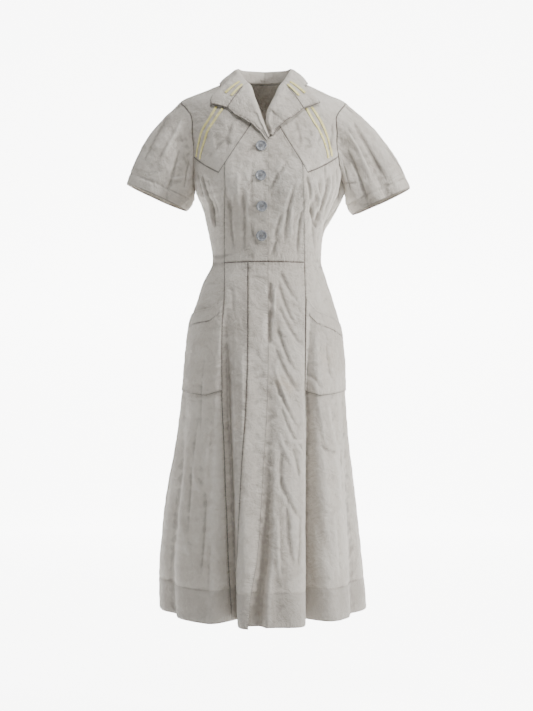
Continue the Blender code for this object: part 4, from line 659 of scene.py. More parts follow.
def skin(turn, height):
    """A point of the garment's outer face, with its folds, creases and ripples."""
    turn, height = np.broadcast_arrays(np.asarray(turn, float), np.asarray(height, float))
    right = body_column("right", height)
    left = body_column("left", height)
    front = body_column("front", height)
    back = body_column("back", height)
    power = body_column("power", height)
    half = (left + right) / 2
    sine, cosine = np.sin(turn), np.cos(turn)
    depth = np.where(cosine > 0, front, back)
    x = body_x(turn, height)
    y = -np.sign(cosine) * depth * np.abs(cosine) ** (2 / power)
    reach_x = (np.abs(x) - BUST_X) / BUST_SPREAD_X
    reach_z = (height - BUST_HEIGHT) / BUST_SPREAD_Z
    y = y - BUST_DEPTH * np.exp(-reach_x ** 2 - reach_z ** 2) * np.clip(cosine, 0, 1) ** 0.5
    out_x, out_y = sine * depth, -cosine * half
    length = np.hypot(out_x, out_y)
    around = ((turn + math.pi) % (2 * math.pi) - math.pi) * ROUND_RADIUS
    out = fold_depth(turn, height, (half + depth) / 2)
    out = out + np.where(cosine > 0, crease_depth(x, height, FRONT_CREASES), 0.0)
    out = out + crease_depth(around, height, ROUND_CREASES)
    out = out + ripple_depth(x, y, height) + band_relief(height - (HEM + HEM_BAND))
    return np.stack([x + out * out_x / length, y + out * out_y / length, height], axis=-1)


def unit(vectors):
    return vectors / np.linalg.norm(vectors, axis=-1, keepdims=True)


def normal_of(face, turn, height):
    """The outward direction of a face that is given as a rule from turn and height to points."""
    across = face(turn + TURN_STEP, height) - face(turn - TURN_STEP, height)
    up = face(turn, np.asarray(height) + HEIGHT_STEP) - face(turn, np.asarray(height) - HEIGHT_STEP)
    return unit(np.cross(across, up))


def skin_normal(turn, height):
    return normal_of(skin, turn, height)


def lifted_skin(turn, height, lift_rule):
    """The skin moved forward by a rule of distance from the middle plane, before any fold, and height."""
    return skin(turn, height) + FORWARD * lift_rule(body_x(turn, height), height)[..., None]


def on_front(x, height):
    """Turn and height of a front point given by its distance from the middle plane."""
    return float(turn_at(x, height)), height


def armhole(side, share):
    """Turn and height on an armhole at a share of its way round from the shoulder tip."""
    count = len(ARMHOLE)
    turns = [getattr(row, side + "_turn") for row in ARMHOLE]
    heights = [getattr(row, side + "_height") for row in ARMHOLE]
    wrapped = [index / count for index in range(-2, count + 3)]
    turn = smooth_read(wrapped, [turns[index % count] for index in range(-2, count + 3)], share)
    height = smooth_read(wrapped, [heights[index % count] for index in range(-2, count + 3)], share)
    return SIDES[side] * np.radians(turn), height


def line(knots, points):
    """A path that runs through points at given shares, smooth between them."""
    turns = [point[0] for point in points]
    heights = [point[1] for point in points]

    def path(share):
        if len(knots) == 2:
            q = (share - knots[0]) / (knots[1] - knots[0])
            return turns[0] + (turns[1] - turns[0]) * q, heights[0] + (heights[1] - heights[0]) * q
        return smooth_read(knots, turns, share), smooth_read(knots, heights, share)
    return path


def front_line(knots, places):
    """A path on the front through places given by distance from the middle plane and height."""
    def path(share):
        x = smooth_read(knots, [place[0] for place in places], share)
        height = smooth_read(knots, [place[1] for place in places], share)
        return turn_at(x, height), height
    return path


def joined(*pieces):
    """One path from pieces, each given as its first share, last share and path."""
    def path(share):
        share = np.asarray(share, float)
        turn = np.zeros_like(share)
        height = np.zeros_like(share)
        for start, end, piece in pieces:
            here = (share >= start - 1e-9) & (share <= end + 1e-9)
            t, h = piece(share[here])
            turn[here] = t
            height[here] = h
        return turn, height
    return path


def patch(bottom, top, left, right, across, up):
    """Turns and heights of a four-sided panel, blended from its four borders."""
    s, t = np.meshgrid(across, up, indexing="ij")
    grid = []
    for axis in (0, 1):
        b, u = bottom(across)[axis][:, None], top(across)[axis][:, None]
        l, r = left(up)[axis][None, :], right(up)[axis][None, :]
        corners = ((1 - s) * (1 - t) * b[0, 0] + s * (1 - t) * b[-1, 0]
                   + (1 - s) * t * u[0, 0] + s * t * u[-1, 0])
        grid.append((1 - t) * b + t * u + (1 - s) * l + s * r - corners)
    return grid[0], grid[1]


def flat_patch(bottom, top, left, right, across, up, behind=False):
    """As patch, but blended by distance from the middle plane, for panels that end at the shoulder."""
    def flat(path):
        def flat_path(share):
            turn, height = path(share)
            return body_x(turn, height), height
        return flat_path

    x, height = patch(flat(bottom), flat(top), flat(left), flat(right), across, up)
    turn = turn_at(x, height)
    if behind:
        turn = math.pi - turn
    for border, path, shares in ((np.s_[:, 0], bottom, across), (np.s_[:, -1], top, across),
                                 (np.s_[0, :], left, up), (np.s_[-1, :], right, up)):
        turn[border] = path(shares)[0]
    return turn, height


def spaced(cells, crowding=0.0):
    """Shares from zero to one, crowded toward both ends."""
    even = np.linspace(0.0, 1.0, cells + 1)
    return even * (1 - crowding) + (1 - np.cos(math.pi * even)) / 2 * crowding


def pull_in(points, sides, distance=SEAM_GAP / 2):
    """Move a grid's borders square to themselves, to leave the seam's gap."""
    moved = points.copy()
    for side in sides:
        border, inner = {"first": (0, 1), "last": (-1, -2),
                         "bottom": (0, 1), "top": (-1, -2)}[side]
        if side in ("first", "last"):
            edge, inward = points[border], points[inner] - points[border]
        else:
            edge, inward = points[:, border], points[:, inner] - points[:, border]
        tangent = np.gradient(edge, axis=0)
        tangent /= np.linalg.norm(tangent, axis=1, keepdims=True)
        inward = inward - tangent * (inward * tangent).sum(axis=1, keepdims=True)
        inward /= np.linalg.norm(inward, axis=1, keepdims=True)
        if side in ("first", "last"):
            moved[border] += inward * distance
        else:
            moved[:, border] += inward * distance
    return moved


def distances(points):
    """How far each point of a grid lies from the grid's first column, last column, first row and
    last row, measured along the cloth."""
    across = np.linalg.norm(np.diff(points, axis=0), axis=-1)
    up = np.linalg.norm(np.diff(points, axis=1), axis=-1)
    zero_across, zero_up = np.zeros((1, points.shape[1])), np.zeros((points.shape[0], 1))
    first = np.concatenate([zero_across, np.cumsum(across, axis=0)], axis=0)
    bottom = np.concatenate([zero_up, np.cumsum(up, axis=1)], axis=1)
    return first, first[-1:] - first, bottom, bottom[:, -1:] - bottom


def uneven_wave(travel):
    """Puckers along a seam, none like its neighbour."""
    q = travel / PUCKER_LENGTH
    return np.sin(2 * math.pi * q + 1.3 * np.sin(1.7 * q) + 0.9 * np.sin(0.61 * q + 1.0))


def seam_relief(points, normal, closed=False):
    """Seams are drawn in a little, with puckers beside them. Gives back the points and how much
    each is puckered, by seams along the columns and by seams along the rows."""
    first, last, bottom, top = distances(points)
    beside = np.minimum(bottom, top)
    level = np.minimum(first, last)
    dip = np.exp(-(beside / SEAM_DIP_WIDTH) ** 2)
    by_rows = np.exp(-beside / PUCKER_REACH)
    by_columns = np.zeros_like(by_rows)
    if not closed:
        dip = np.maximum(dip, np.exp(-(level / SEAM_DIP_WIDTH) ** 2))
        by_columns = np.exp(-level / PUCKER_REACH)
    pucker = by_columns * uneven_wave(bottom) + by_rows * uneven_wave(first + ROW_WAVE_START)
    moved = points + normal * (PUCKER_HEIGHT * pucker * (1 - dip) - SEAM_DIP * dip)[..., None]
    return moved, by_columns, by_rows


def shell_faces(columns, rows, closed):
    """Four-sided faces of a closed wall between two grids of points, the outer grid's first."""
    half = columns * rows
    start = (np.arange(columns if closed else columns - 1) * rows)[:, None]
    follow = (start + rows) % half
    cell = np.arange(rows - 1)[None, :]
    corners = (start + cell, follow + cell, follow + cell + 1, start + cell + 1)
    outer = np.stack(corners, axis=-1).reshape(-1, 4)
    faces = [outer, outer[:, ::-1] + half]
    for row in (0, rows - 1):
        rim = np.concatenate([start, follow, follow + half, start + half], axis=1) + row
        faces.append(rim if row else rim[:, ::-1])
    if not closed:
        for column in (0, (columns - 1) * rows):
            low = column + np.arange(rows - 1)
            rim = np.stack([low, low + 1, low + 1 + half, low + half], axis=1)
            faces.append(rim if column == 0 else rim[:, ::-1])
    return np.concatenate(faces)


def write_uv(mesh, uv, turn_length=0.0):
    """UVs in metres along the cloth. Round a tube, the last column ends at the whole turn."""
    loops = np.empty(len(mesh.loops), dtype=np.int32)
    mesh.loops.foreach_get("vertex_index", loops)
    values = uv[loops].astype(np.float32)
    if turn_length:
        sides = values.reshape(-1, 4, 2)
        wide = np.ptp(sides[:, :, 0], axis=1) > turn_length / 2
        low = sides[:, :, 0] < turn_length / 2
        sides[:, :, 0] += turn_length * (low & wide[:, None])
        values = sides.reshape(-1, 2)
    mesh.uv_layers.new(name="UVMap").data.foreach_set("uv", values.ravel())


def linked(name, vertices, faces, finish):
    """A smooth mesh object in the scene."""
    mesh = bpy.data.meshes.new(name)
    mesh.from_pydata(np.asarray(vertices).tolist(), [], [list(map(int, face)) for face in faces])
    mesh.shade_smooth()
    mesh.materials.append(finish)
    made = bpy.data.objects.new(name, mesh)
    bpy.context.scene.collection.objects.link(made)
    return made


# Reach in cells and full depth of the hollows that get painted shade, the ridges getting painted highlight
HOLLOWS = ((2, 0.0012), (7, 0.0046))


def averaged(points, reach):
    """Each point's mean with its neighbours up to reach cells away, both ways."""
    size = 2 * reach + 1
    for axis in (0, 1):
        first, last = points.take([0], axis), points.take([-1], axis)
        padded = [first * 0] + [first] * reach + [points] + [last] * reach
        total = np.cumsum(np.concatenate(padded, axis), axis)
        count = points.shape[axis]
        points = (total.take(range(size, size + count), axis) - total.take(range(count), axis)) / size
    return points


def hollow_shade(points, normal):
    """How far each point lies in a hollow (positive) or on a ridge (negative) of the cloth."""
    shade = np.zeros(points.shape[:2])
    for reach, depth in HOLLOWS:
        away = ((averaged(points, reach) - points) * normal).sum(axis=-1)
        shade += np.clip((away - np.median(away)) / depth, -1, 1)
    return np.clip(shade, -1, 1)


def cloth_shell(name, outer, normal, finish, closed=False, puckers=None,
                thickness=WALL):
    """A thin closed piece of cloth on a grid of outer points, in place of the solid of that name."""
    vertices = np.concatenate([outer.reshape(-1, 3), (outer - normal * thickness).reshape(-1, 3)])
    faces = shell_faces(*outer.shape[:2], closed)
    corners = vertices[faces[0]]
    facing = np.cross(corners[1] - corners[0], corners[3] - corners[0]) @ normal[0, 0]
    if facing < 0:
        faces = faces[:, ::-1]
    made = linked(name + "_cloth", vertices, faces, finish)
    first, _, bottom, _ = distances(outer)
    turn_length = 0.0
    if closed:
        turn_length = float((first[-1] + np.linalg.norm(outer[0] - outer[-1], axis=-1)).mean())
        first = first * (turn_length / (first[-1:] + np.linalg.norm(outer[0] - outer[-1], axis=-1)))
    uv = np.stack([first, bottom], axis=-1).reshape(-1, 2)
    write_uv(made.data, np.concatenate([uv, uv]), turn_length)
    shades = (hollow_shade(outer, normal), *(puckers or ()))
    for label, values in zip(("hollow", "pucker_columns", "pucker_rows"), shades):
        attribute = made.data.attributes.new(label, "FLOAT", "POINT")
        attribute.data.foreach_set("value", np.tile(values.ravel(), 2).astype(np.float32))
    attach(made, "root")
    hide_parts(name)
    declare_cut(outer, closed)
    return made


# The least share of its flat rectangle that a cut fills
LEAST_CUT_SHARE = 0.3


def declare_cut(outer, closed):
    """Works out the flat size and area that the piece was cut to, and does nothing more with them."""
    ring = np.concatenate([outer, outer[:1]]) if closed else outer
    first, _, bottom, _ = distances(ring)
    width, length = float(first[-1].max()), float(bottom[:, -1].max())
    cell = np.cross(ring[1:, :-1] - ring[:-1, :-1], ring[:-1, 1:] - ring[:-1, :-1])
    area = float(np.linalg.norm(cell, axis=-1).sum())
    area = min(max(area, LEAST_CUT_SHARE * width * length), width * length)


def panel(name, turn, height, finish, lift_rule=None):
    """A garment panel from its turns and heights, moved out level by a lift rule, with the seam's gap
    taken off its borders. Gives back the points of its outer face and their outward directions."""
    def face(t, h):
        return lifted_skin(t, h, lift_rule) if lift_rule else skin(t, h)

    normal = normal_of(face, turn, height)
    outer = pull_in(face(turn, height), ("first", "last", "bottom", "top"))
    outer, *puckers = seam_relief(outer, normal)
    cloth_shell(name, outer, normal, finish, puckers=puckers)
    return outer, normal


def lap_row(name, height):
    return smooth_read([row.height for row in SKIRT_LAP], [getattr(row, name) for row in SKIRT_LAP], height)


def lap_lift(side, x, height=WAIST):
    """The right front lies over the left one: the first is raised and the second sunk, most of
    all in the hollow where the skirt's opening stands open."""
    edge = lap_row("edge", height)
    if side == "right":
        return LAP_RISE * ease((x - (edge - LAP_OVER - LAP_BLEND)) / LAP_BLEND)
    hollow = ease((edge + lap_row("hollow_width", height) + HOLLOW_BLEND - x) / HOLLOW_BLEND)
    return -LAP_RISE * ease((edge + LAP_BLEND - x) / LAP_BLEND) - lap_row("hollow_depth", height) * hollow


def mirrored_turn(side, degrees):
    return SIDES[side] * math.radians(degrees)


def seam_between(first, second):
    """A seam that is straight seen from the front, read by its share of the way."""
    def path(share):
        share = np.asarray(share, float)
        x = first[0] + (second[0] - first[0]) * share
        height = first[1] + (second[1] - first[1]) * share
        return turn_at(x, height), height
    return path


def stretch(path, start, end):
    """The part of a path between two shares, as a path of its own."""
    return lambda share: path(start + (end - start) * np.asarray(share, float))


def stretched(start, end, path):
    """One piece of a joined path: it fills the shares from start to end."""
    return start, end, lambda share: path((np.asarray(share, float) - start) / (end - start))


def princess_at(side, height):
    """The princess seam's distance from the middle plane."""
    return smooth_read([row.height for row in PRINCESS], [getattr(row, side) for row in PRINCESS], height)


def yoke_seam(side):
    return seam_between(YOKE_CORNER[side], YOKE_TOP_END[side])


def princess_share(side):
    """Where the princess seam meets the yoke's slanted seam, as a share of that seam."""
    corner, end = YOKE_CORNER[side], YOKE_TOP_END[side]
    low, high = 0.0, 0.5
    for _ in range(40):
        share = (low + high) / 2
        x = corner[0] + (end[0] - corner[0]) * share
        height = corner[1] + (end[1] - corner[1]) * share
        seam = princess_at(side, height)
        low, high = (share, high) if abs(x) > abs(seam) else (low, share)
    return share


def princess_top(side):
    turn, height = yoke_seam(side)(princess_share(side))
    return float(turn), float(height)


def yoke_low_edge(side):
    """From the armhole to the yoke's corner."""
    turn, height = armhole(side, YOKE_ARMHOLE_END)
    return line((0.0, 1.0), ((float(turn), float(height)), on_front(*YOKE_CORNER[side])))


def shoulder_shares():
    """Shares of the shoulder seam, from the sleeve to the neck, that the yoke and the back both use."""
    return np.concatenate([np.linspace(0, YOKE_CORNER_SHARE, YOKE_LOW_CELLS + 1),
                           np.linspace(YOKE_CORNER_SHARE, 1, YOKE_SEAM_CELLS + 1)[1:]])


def grid_normals(points, closed=False):
    """Outward directions of a grid of points, from its neighbours."""
    if closed:
        across = np.roll(points, -1, axis=0) - np.roll(points, 1, axis=0)
    else:
        across = np.gradient(points, axis=0)
    normal = np.cross(across, np.gradient(points, axis=1))
    return normal / np.linalg.norm(normal, axis=-1, keepdims=True)

Border = namedtuple("Border", "stations points normals beyond")


def border_of(stations, points, neighbours, normals):
    """A panel's edge: its points, their outward directions and the way out beyond the edge."""
    tangent = unit(np.gradient(points, axis=0))
    beyond = points - neighbours
    for direction in (tangent, normals):
        beyond = beyond - direction * (beyond * direction).sum(axis=1, keepdims=True)
    return Border(stations, points, normals, unit(beyond))


def front_border(side, bodice, yoke):
    """The neck edge of one front, up to the shoulder."""
    stations = np.concatenate([np.linspace(0, YOKE_STATION, SIDE_ARM_CELLS + 1),
                               np.linspace(YOKE_STATION, SHOULDER_STATION, YOKE_ARM_CELLS + 1)[1:]])
    first = np.argmax(stations >= LAPELS[side][0].station - 1e-9)
    parts = []
    for grid, column in ((0, -1), (0, -2), (1, -1)):
        below, above = bodice[grid][column, BODICE_SIDE_ROWS:], yoke[grid][column, 1:]
        parts.append(np.concatenate([below, above])[first:])
    return border_of(stations[first:], *parts)


def back_border(side, back):
    """The back's neck edge, from the shoulder to the middle."""
    middle = SHOULDER_COLUMNS + NECK_COLUMNS // 2
    columns = np.arange(SHOULDER_COLUMNS, middle + 1)
    if side == "right":
        columns = 2 * middle - columns
    stations = SHOULDER_STATION + np.arange(len(columns))
    return border_of(stations, back[0][columns, -1], back[0][columns, -2], back[1][columns, -1])


def face_point(x, height):
    """A point of the front's outer face and the face's direction there."""
    turn = turn_at(x, height)
    return skin(turn, height), skin_normal(turn, height)


def turned_section(start, roll, edge, toward, bow, belly, out):
    """Points across a turned collar: up from its seam, over the roll and down to its edge."""
    fall = edge - roll
    length = np.linalg.norm(fall)
    direction = fall / length
    return [start,
            start * 0.5 + roll * 0.5 + toward * bow,
            roll + toward * bow * ROLL_BOW,
            roll + (direction + out * ROLL_SLOPE) * min(ROLL_DROP, ROLL_DROP_SHARE * length),
            roll + fall * FALL_KNOTS[1] + out * belly * FALL_BELLIES[0],
            roll + fall * FALL_KNOTS[2] + out * belly * FALL_BELLIES[1],
            edge]


def lapel_points(side, border):
    """One section of the lapel at each point of the front's edge, up to the gorge."""
    rows = LAPELS[side]
    knots = [row.station for row in rows]
    points = []
    for index in np.flatnonzero(border.stations <= GORGE_STATION + 1e-9):
        station = border.stations[index]
        edge_x, edge_height, rise, lift, bow, belly = (
            float(smooth_read(knots, [getattr(row, name) for row in rows], station))
            for name in ("edge_x", "edge_height", "rise", "lift", "bow", "belly"))
        point, normal, beyond = border.points[index], border.normals[index], border.beyond[index]
        start = point - normal * WALL + beyond * (WALL + NECK_GAP)
        roll = point + normal * rise + beyond * (WALL + NECK_GAP)
        face, out = face_point(edge_x, edge_height)
        edge = face + out * (lift + lap_lift(side, edge_x))
        points.append(turned_section(start, roll, edge, beyond, bow, belly, out))
    return np.array(points)


def collar_points(side, front, back, shares):
    """Collar sections at any shares from the gorge (0) to the middle of the back (1): straight
    along to the point, smooth beyond it."""
    sign = SIDES[side]
    at_gorge = int(np.argmax(front.stations >= GORGE_STATION - 1e-9))
    seam = [np.concatenate([first[at_gorge:], second[1:]]) for first, second in zip(front[1:], back[1:])]
    stations = np.concatenate([front.stations[at_gorge:], back.stations[1:]])
    middle = back.stations[-1]
    station_of = np.interp(shares, SEAM_SHARES, np.concatenate(
        [[GORGE_STATION, GORGE_STATION + 1, SHOULDER_STATION], np.linspace(SHOULDER_STATION, middle, 5)[1:]]))
    corner_turn, corner_height = on_front(*COLLAR_POINT[side])
    fall_knots = [COLLAR_CORNER] + [row.share for row in COLLAR_FALL]
    fall_turns = [corner_turn] + [sign * math.radians(row.turn) for row in COLLAR_FALL]
    fall = {"height": [corner_height] + [row.height for row in COLLAR_FALL],
            "lift": [POINT_LIFT] + [row.lift for row in COLLAR_FALL],
            "bow": [GORGE_BOW] + [row.bow for row in COLLAR_FALL],
            "belly": [POINT_BELLY] + [row.belly for row in COLLAR_FALL]}
    corner_values = {name: values[0] for name, values in fall.items()}
    gorge_values = {"lift": GORGE_LIFT, "bow": GORGE_BOW, "belly": GORGE_BELLY}
    roll_knots = [row.share for row in COLLAR_ROLL]
    roll_places = np.array([(sign * row.x, row.y, row.height) for row in COLLAR_ROLL])
    points = []
    for share, station in zip(shares, station_of):
        place, normal, beyond = (
            np.array([np.interp(station, stations, values[:, axis]) for axis in range(3)]) for values in seam)
        q = min(share / COLLAR_CORNER, 1.0)
        roll = np.array([smooth_read(roll_knots, roll_places[:, axis], share) for axis in range(3)])
        if q < 1.0:
            gorge_roll = seam[0][0] + seam[1][0] * ROLL_RISE + seam[2][0] * (WALL + NECK_GAP)
            roll = gorge_roll * (1 - q) + roll_places[0] * q
            values = {name: gorge_values[name] * (1 - q) + corner_values[name] * q for name in gorge_values}
            x, height = (a * (1 - q) + b * q for a, b in zip(GORGE_END[side], COLLAR_POINT[side]))
            turn = turn_at(x, height)
        else:
            values = {name: float(smooth_read(fall_knots, column, share)) for name, column in fall.items()}
            height = values["height"]
            turn = smooth_read(fall_knots, fall_turns, share)
        to_axis = unit((NECK_AXIS - roll) * np.array([1.0, 1.0, 0.0]))
        toward = unit(beyond * (1 - q) + to_axis * q)
        start = place - normal * WALL * (1 - q) + beyond * (NECK_GAP + WALL * (beyond @ toward))
        out = skin_normal(turn, height)
        edge = skin(turn, height) + out * values["lift"]
        points.append(turned_section(start, roll, edge, toward, values["bow"], values["belly"], out))
    return np.array(points)


def sleeve_grid(side, shares, seam, rows):
    """Points of a sleeve's outer face, from the armhole seam to the hem."""
    row = SLEEVES[side]
    sign = SIDES[side]
    lean = math.radians(row.lean)
    inward = np.array([-sign * math.cos(lean), 0.0, -math.sin(lean)])
    middle = np.array([row.middle_x, 0.0, row.middle_height])
    round_angle = 2 * math.pi * shares[:, None, None]
    spread = -np.cos(round_angle) * row.half_width * inward + np.sin(round_angle) * row.half_depth * FORWARD
    hem = middle + spread
    outward = unit(-np.cos(round_angle) * inward + np.sin(round_angle) * FORWARD)
    t = rows[None, :, None]
    top = np.clip(np.cos(round_angle), 0, 1)
    wave = np.sin(math.pi * np.clip(t, 0, 1))
    puff = row.puff * top * np.abs(wave) ** PUFF_POWER + row.fullness * wave * ease(t / FULLNESS_START)
    for fold in SLEEVE_FOLDS:
        if fold.side == side:
            centre = fold.around_top + (fold.around_hem - fold.around_top) * t
            away = (shares[:, None, None] - centre + 0.5) % 1.0 - 0.5
            depth = fold.depth_top + (fold.depth_hem - fold.depth_top) * t
            puff = puff + depth * np.exp(-(away / fold.width) ** 2) * ease(t / SLEEVE_FOLD_START)
    for index in range(TUCK_COUNT):
        centre = (index - (TUCK_COUNT - 1) / 2) * TUCK_SPACING
        away = (shares[:, None, None] - centre + 0.5) % 1.0 - 0.5
        fade = ease(t / TUCK_START) * (1 - ease(t / TUCK_LENGTH))
        puff = puff - TUCK_DEPTH * np.exp(-(away / (TUCK_SPREAD * TUCK_SPACING)) ** 2) * fade
    return seam[:, None, :] * (1 - t) + hem * t + outward * puff

# Sleeve creases by their share of the way round and along, as across and height
SLEEVE_GIRTH = 0.43
SLEEVE_LENGTH = 0.21
SLEEVE_HEM_BAND = 0.025
SLEEVE_CREASES = {
    "right": (
        Crease(0.03, 0.10, 0.10, 0.80, 0.004, 0.0060, -0.0022),
        Crease(0.09, 0.05, 0.17, 0.60, 0.004, 0.0060, 0.0018),
        Crease(0.19, 0.20, 0.30, 0.90, 0.004, 0.0060, -0.0024),
        Crease(0.28, 0.10, 0.36, 0.60, 0.004, 0.0050, -0.0022),
        Crease(0.34, 0.30, 0.24, 0.70, 0.004, 0.0060, 0.0016),
        Crease(0.70, 0.15, 0.78, 0.90, 0.004, 0.0060, -0.0024),
        Crease(0.84, 0.10, 0.88, 0.70, 0.004, 0.0060, -0.0020),
        Crease(0.62, 0.20, 0.66, 0.80, 0.004, 0.0060, 0.0018),
        Crease(0.95, 0.15, 0.93, 0.85, 0.004, 0.0060, -0.0018),
    ),
    "left": (
        Crease(0.06, 0.08, 0.17, 0.85, 0.006, 0.0060, -0.0032),
        Crease(0.12, 0.10, 0.24, 0.75, 0.004, 0.0060, 0.0024),
        Crease(0.20, 0.15, 0.33, 0.95, 0.005, 0.0060, -0.0030),
        Crease(0.30, 0.10, 0.38, 0.60, 0.004, 0.0050, -0.0022),
        Crease(0.05, 0.45, 0.02, 0.90, 0.004, 0.0060, -0.0018),
        Crease(0.72, 0.15, 0.80, 0.90, 0.004, 0.0060, -0.0026),
        Crease(0.86, 0.12, 0.84, 0.70, 0.004, 0.0060, -0.0020),
        Crease(0.63, 0.25, 0.60, 0.85, 0.004, 0.0060, 0.0018),
        Crease(0.40, 0.20, 0.30, 0.55, 0.004, 0.0050, -0.0018),
    ),
}
CAP_GATHERS = 17
CAP_GATHER_DEPTH = 0.0011
CAP_GATHER_REACH = 0.13
CAP_GATHER_FADE = 0.07
CAP_GATHER_START = 0.02
SLEEVE_CREASE_START = 0.08
SLEEVE_RIPPLE_START = 0.1
SLEEVE_ROW_CROWDING = 0.3


def sleeve_creases(side):
    """The table's creases in metres round and along the sleeve."""
    return [crease._replace(start_across=crease.start_across * SLEEVE_GIRTH,
                            end_across=crease.end_across * SLEEVE_GIRTH,
                            start_height=crease.start_height * SLEEVE_LENGTH,
                            end_height=crease.end_height * SLEEVE_LENGTH)
            for crease in SLEEVE_CREASES[side]]


def make_sleeve(side, finish, stitches):
    shares = np.concatenate([np.linspace(0, YOKE_ARMHOLE_END, YOKE_ARM_CELLS + 1)[:-1],
                             np.linspace(YOKE_ARMHOLE_END, UNDERARM_SHARE, SIDE_ARM_CELLS + 1)[:-1],
                             np.linspace(UNDERARM_SHARE, 1.0, BACK_ARM_CELLS + 1)[:-1]])
    turn, height = armhole(side, shares)
    seam, normal = skin(turn, height), skin_normal(turn, height)
    rows = spaced(SLEEVE_ROWS, SLEEVE_ROW_CROWDING)
    outer = sleeve_grid(side, shares, seam, rows)
    tangent = unit(np.roll(outer[:, 0], -1, axis=0) - np.roll(outer[:, 0], 1, axis=0))
    away = unit(np.cross(normal, tangent))
    hollow = outer[:, 0].mean(axis=0)
    away *= np.sign(((hollow - outer[:, 0]) * away).sum(axis=1, keepdims=True))
    outer[:, 0] += away * SLEEVE_SEAM_GAP
    own = grid_normals(outer, closed=True)
    if ((outer - outer.mean(axis=0, keepdims=True)) * own).sum() < 0:
        own = -own
    agreement = np.clip((own[:, 0] * normal).sum(axis=1, keepdims=True), 0.0, 1.0)
    own[:, 0] = unit(own[:, 0] * (1 - agreement) + normal * agreement)
    round_length = shares[:, None] * SLEEVE_GIRTH + 0 * rows
    along = rows * SLEEVE_LENGTH + 0 * shares[:, None]
    relief = crease_depth(round_length, along, sleeve_creases(side)) * ease(rows / SLEEVE_CREASE_START)
    cap = np.minimum(shares, 1 - shares)[:, None]
    uneven = 2 * np.sin(9 * cap + 3 * (shares[:, None] > 0.5))
    gathers = np.sin(2 * math.pi * CAP_GATHERS * (cap / CAP_GATHER_REACH) / 4 + uneven)
    near_cap = ease(1 - cap / CAP_GATHER_REACH)
    near_seam = np.exp(-rows / CAP_GATHER_FADE) * ease(rows / CAP_GATHER_START)
    relief = relief + CAP_GATHER_DEPTH * gathers * near_cap * near_seam
    relief = relief + ripple_depth(*np.moveaxis(outer, -1, 0)) * ease(rows / SLEEVE_RIPPLE_START)
    hem_at = distances(outer)[3] - SLEEVE_HEM_BAND
    relief = relief + band_relief(hem_at)
    outer = outer + own * relief[..., None]
    outer, *puckers = seam_relief(outer, own, closed=True)
    cloth_shell(side + "_sleeve", outer, own, finish, closed=True, puckers=puckers)
    row = int(np.argmin(np.abs(hem_at.mean(axis=0))))
    stitches.run(outer[:, row], own[:, row])
    stitches.run(outer[:, -2], own[:, -2])

ACROSS_KNOTS = (0.0, 0.12, 0.24, 0.32, 0.52, 0.76, 1.0)
ACROSS_CELLS = 40
COLLAR_EDGE_FADE = 0.010
COLLAR_FALL_START = 0.34
COLLAR_FALL_BLEND = 0.1
COLLAR_STITCH_WIDTH = 0.0015
COLLAR_RIPPLE = 0.8
COLLAR_PUCKER_RATE = 1.2


def finer_sections(points):
    """Each section's few points, read smoothly at many."""
    across = np.linspace(0, 1, ACROSS_CELLS + 1)
    return np.array([read_columns(ACROSS_KNOTS, section, across) for section in points])


def collar_relief(points, normal, name, finish, stitches):
    """Puckers along the outer edge, faint ripples and the edge's stitches."""
    first, last, _, top = distances(points)
    edge = np.exp(-top / COLLAR_EDGE_FADE)
    across = np.arange(points.shape[1]) / (points.shape[1] - 1)
    fall = ease((across - COLLAR_FALL_START) / COLLAR_FALL_BLEND)[None, :]
    relief = PUCKER_HEIGHT * uneven_wave(first * COLLAR_PUCKER_RATE) * edge
    relief = relief - SEAM_DIP * np.exp(-((top - EDGE_STITCH) / COLLAR_STITCH_WIDTH) ** 2)
    relief = (relief + COLLAR_RIPPLE * ripple_depth(*np.moveaxis(points, -1, 0))) * fall
    outer = points + normal * relief[..., None]
    near_seam = np.exp(-np.minimum(first, last) / PUCKER_REACH)
    cloth_shell(name, outer, normal, finish, puckers=(near_seam * fall, edge))
    column = [int(np.argmin(np.abs(row - EDGE_STITCH))) for row in top]
    index = np.arange(len(points))
    stitches.run(outer[index, column], normal[index, column])


def make_collar(fronts, backs, finish, stitches):
    """Both lapels and the collar, with the same rims on the two sides of each gorge seam."""
    quarter = np.concatenate([np.linspace(0, COLLAR_CORNER, COLLAR_CORNER_SECTIONS + 1),
                              np.linspace(COLLAR_CORNER, 1, COLLAR_SECTIONS + 1)[1:]])
    right = finer_sections(collar_points("right", fronts["right"], backs["right"], quarter))
    left = finer_sections(collar_points("left", fronts["left"], backs["left"], quarter))[::-1]
    left[0] = (left[0] + right[-1]) / 2
    outer = pull_in(np.concatenate([right[:-1], left]), ("first", "last"))
    normal = grid_normals(outer)
    if normal[len(normal) // 2, -1, 1] < 0:
        normal = -normal
    grids = {"collar": (outer, normal)}
    for side in SIDES:
        outer = pull_in(finer_sections(lapel_points(side, fronts[side])), ("last",))
        normal = grid_normals(outer)
        if normal[len(normal) // 2, -1, 1] > 0:
            normal = -normal
        grids[side + "_lapel"] = (outer, normal)
    for name, (outer, normal) in grids.items():
        collar_relief(outer, normal, name, finish, stitches)


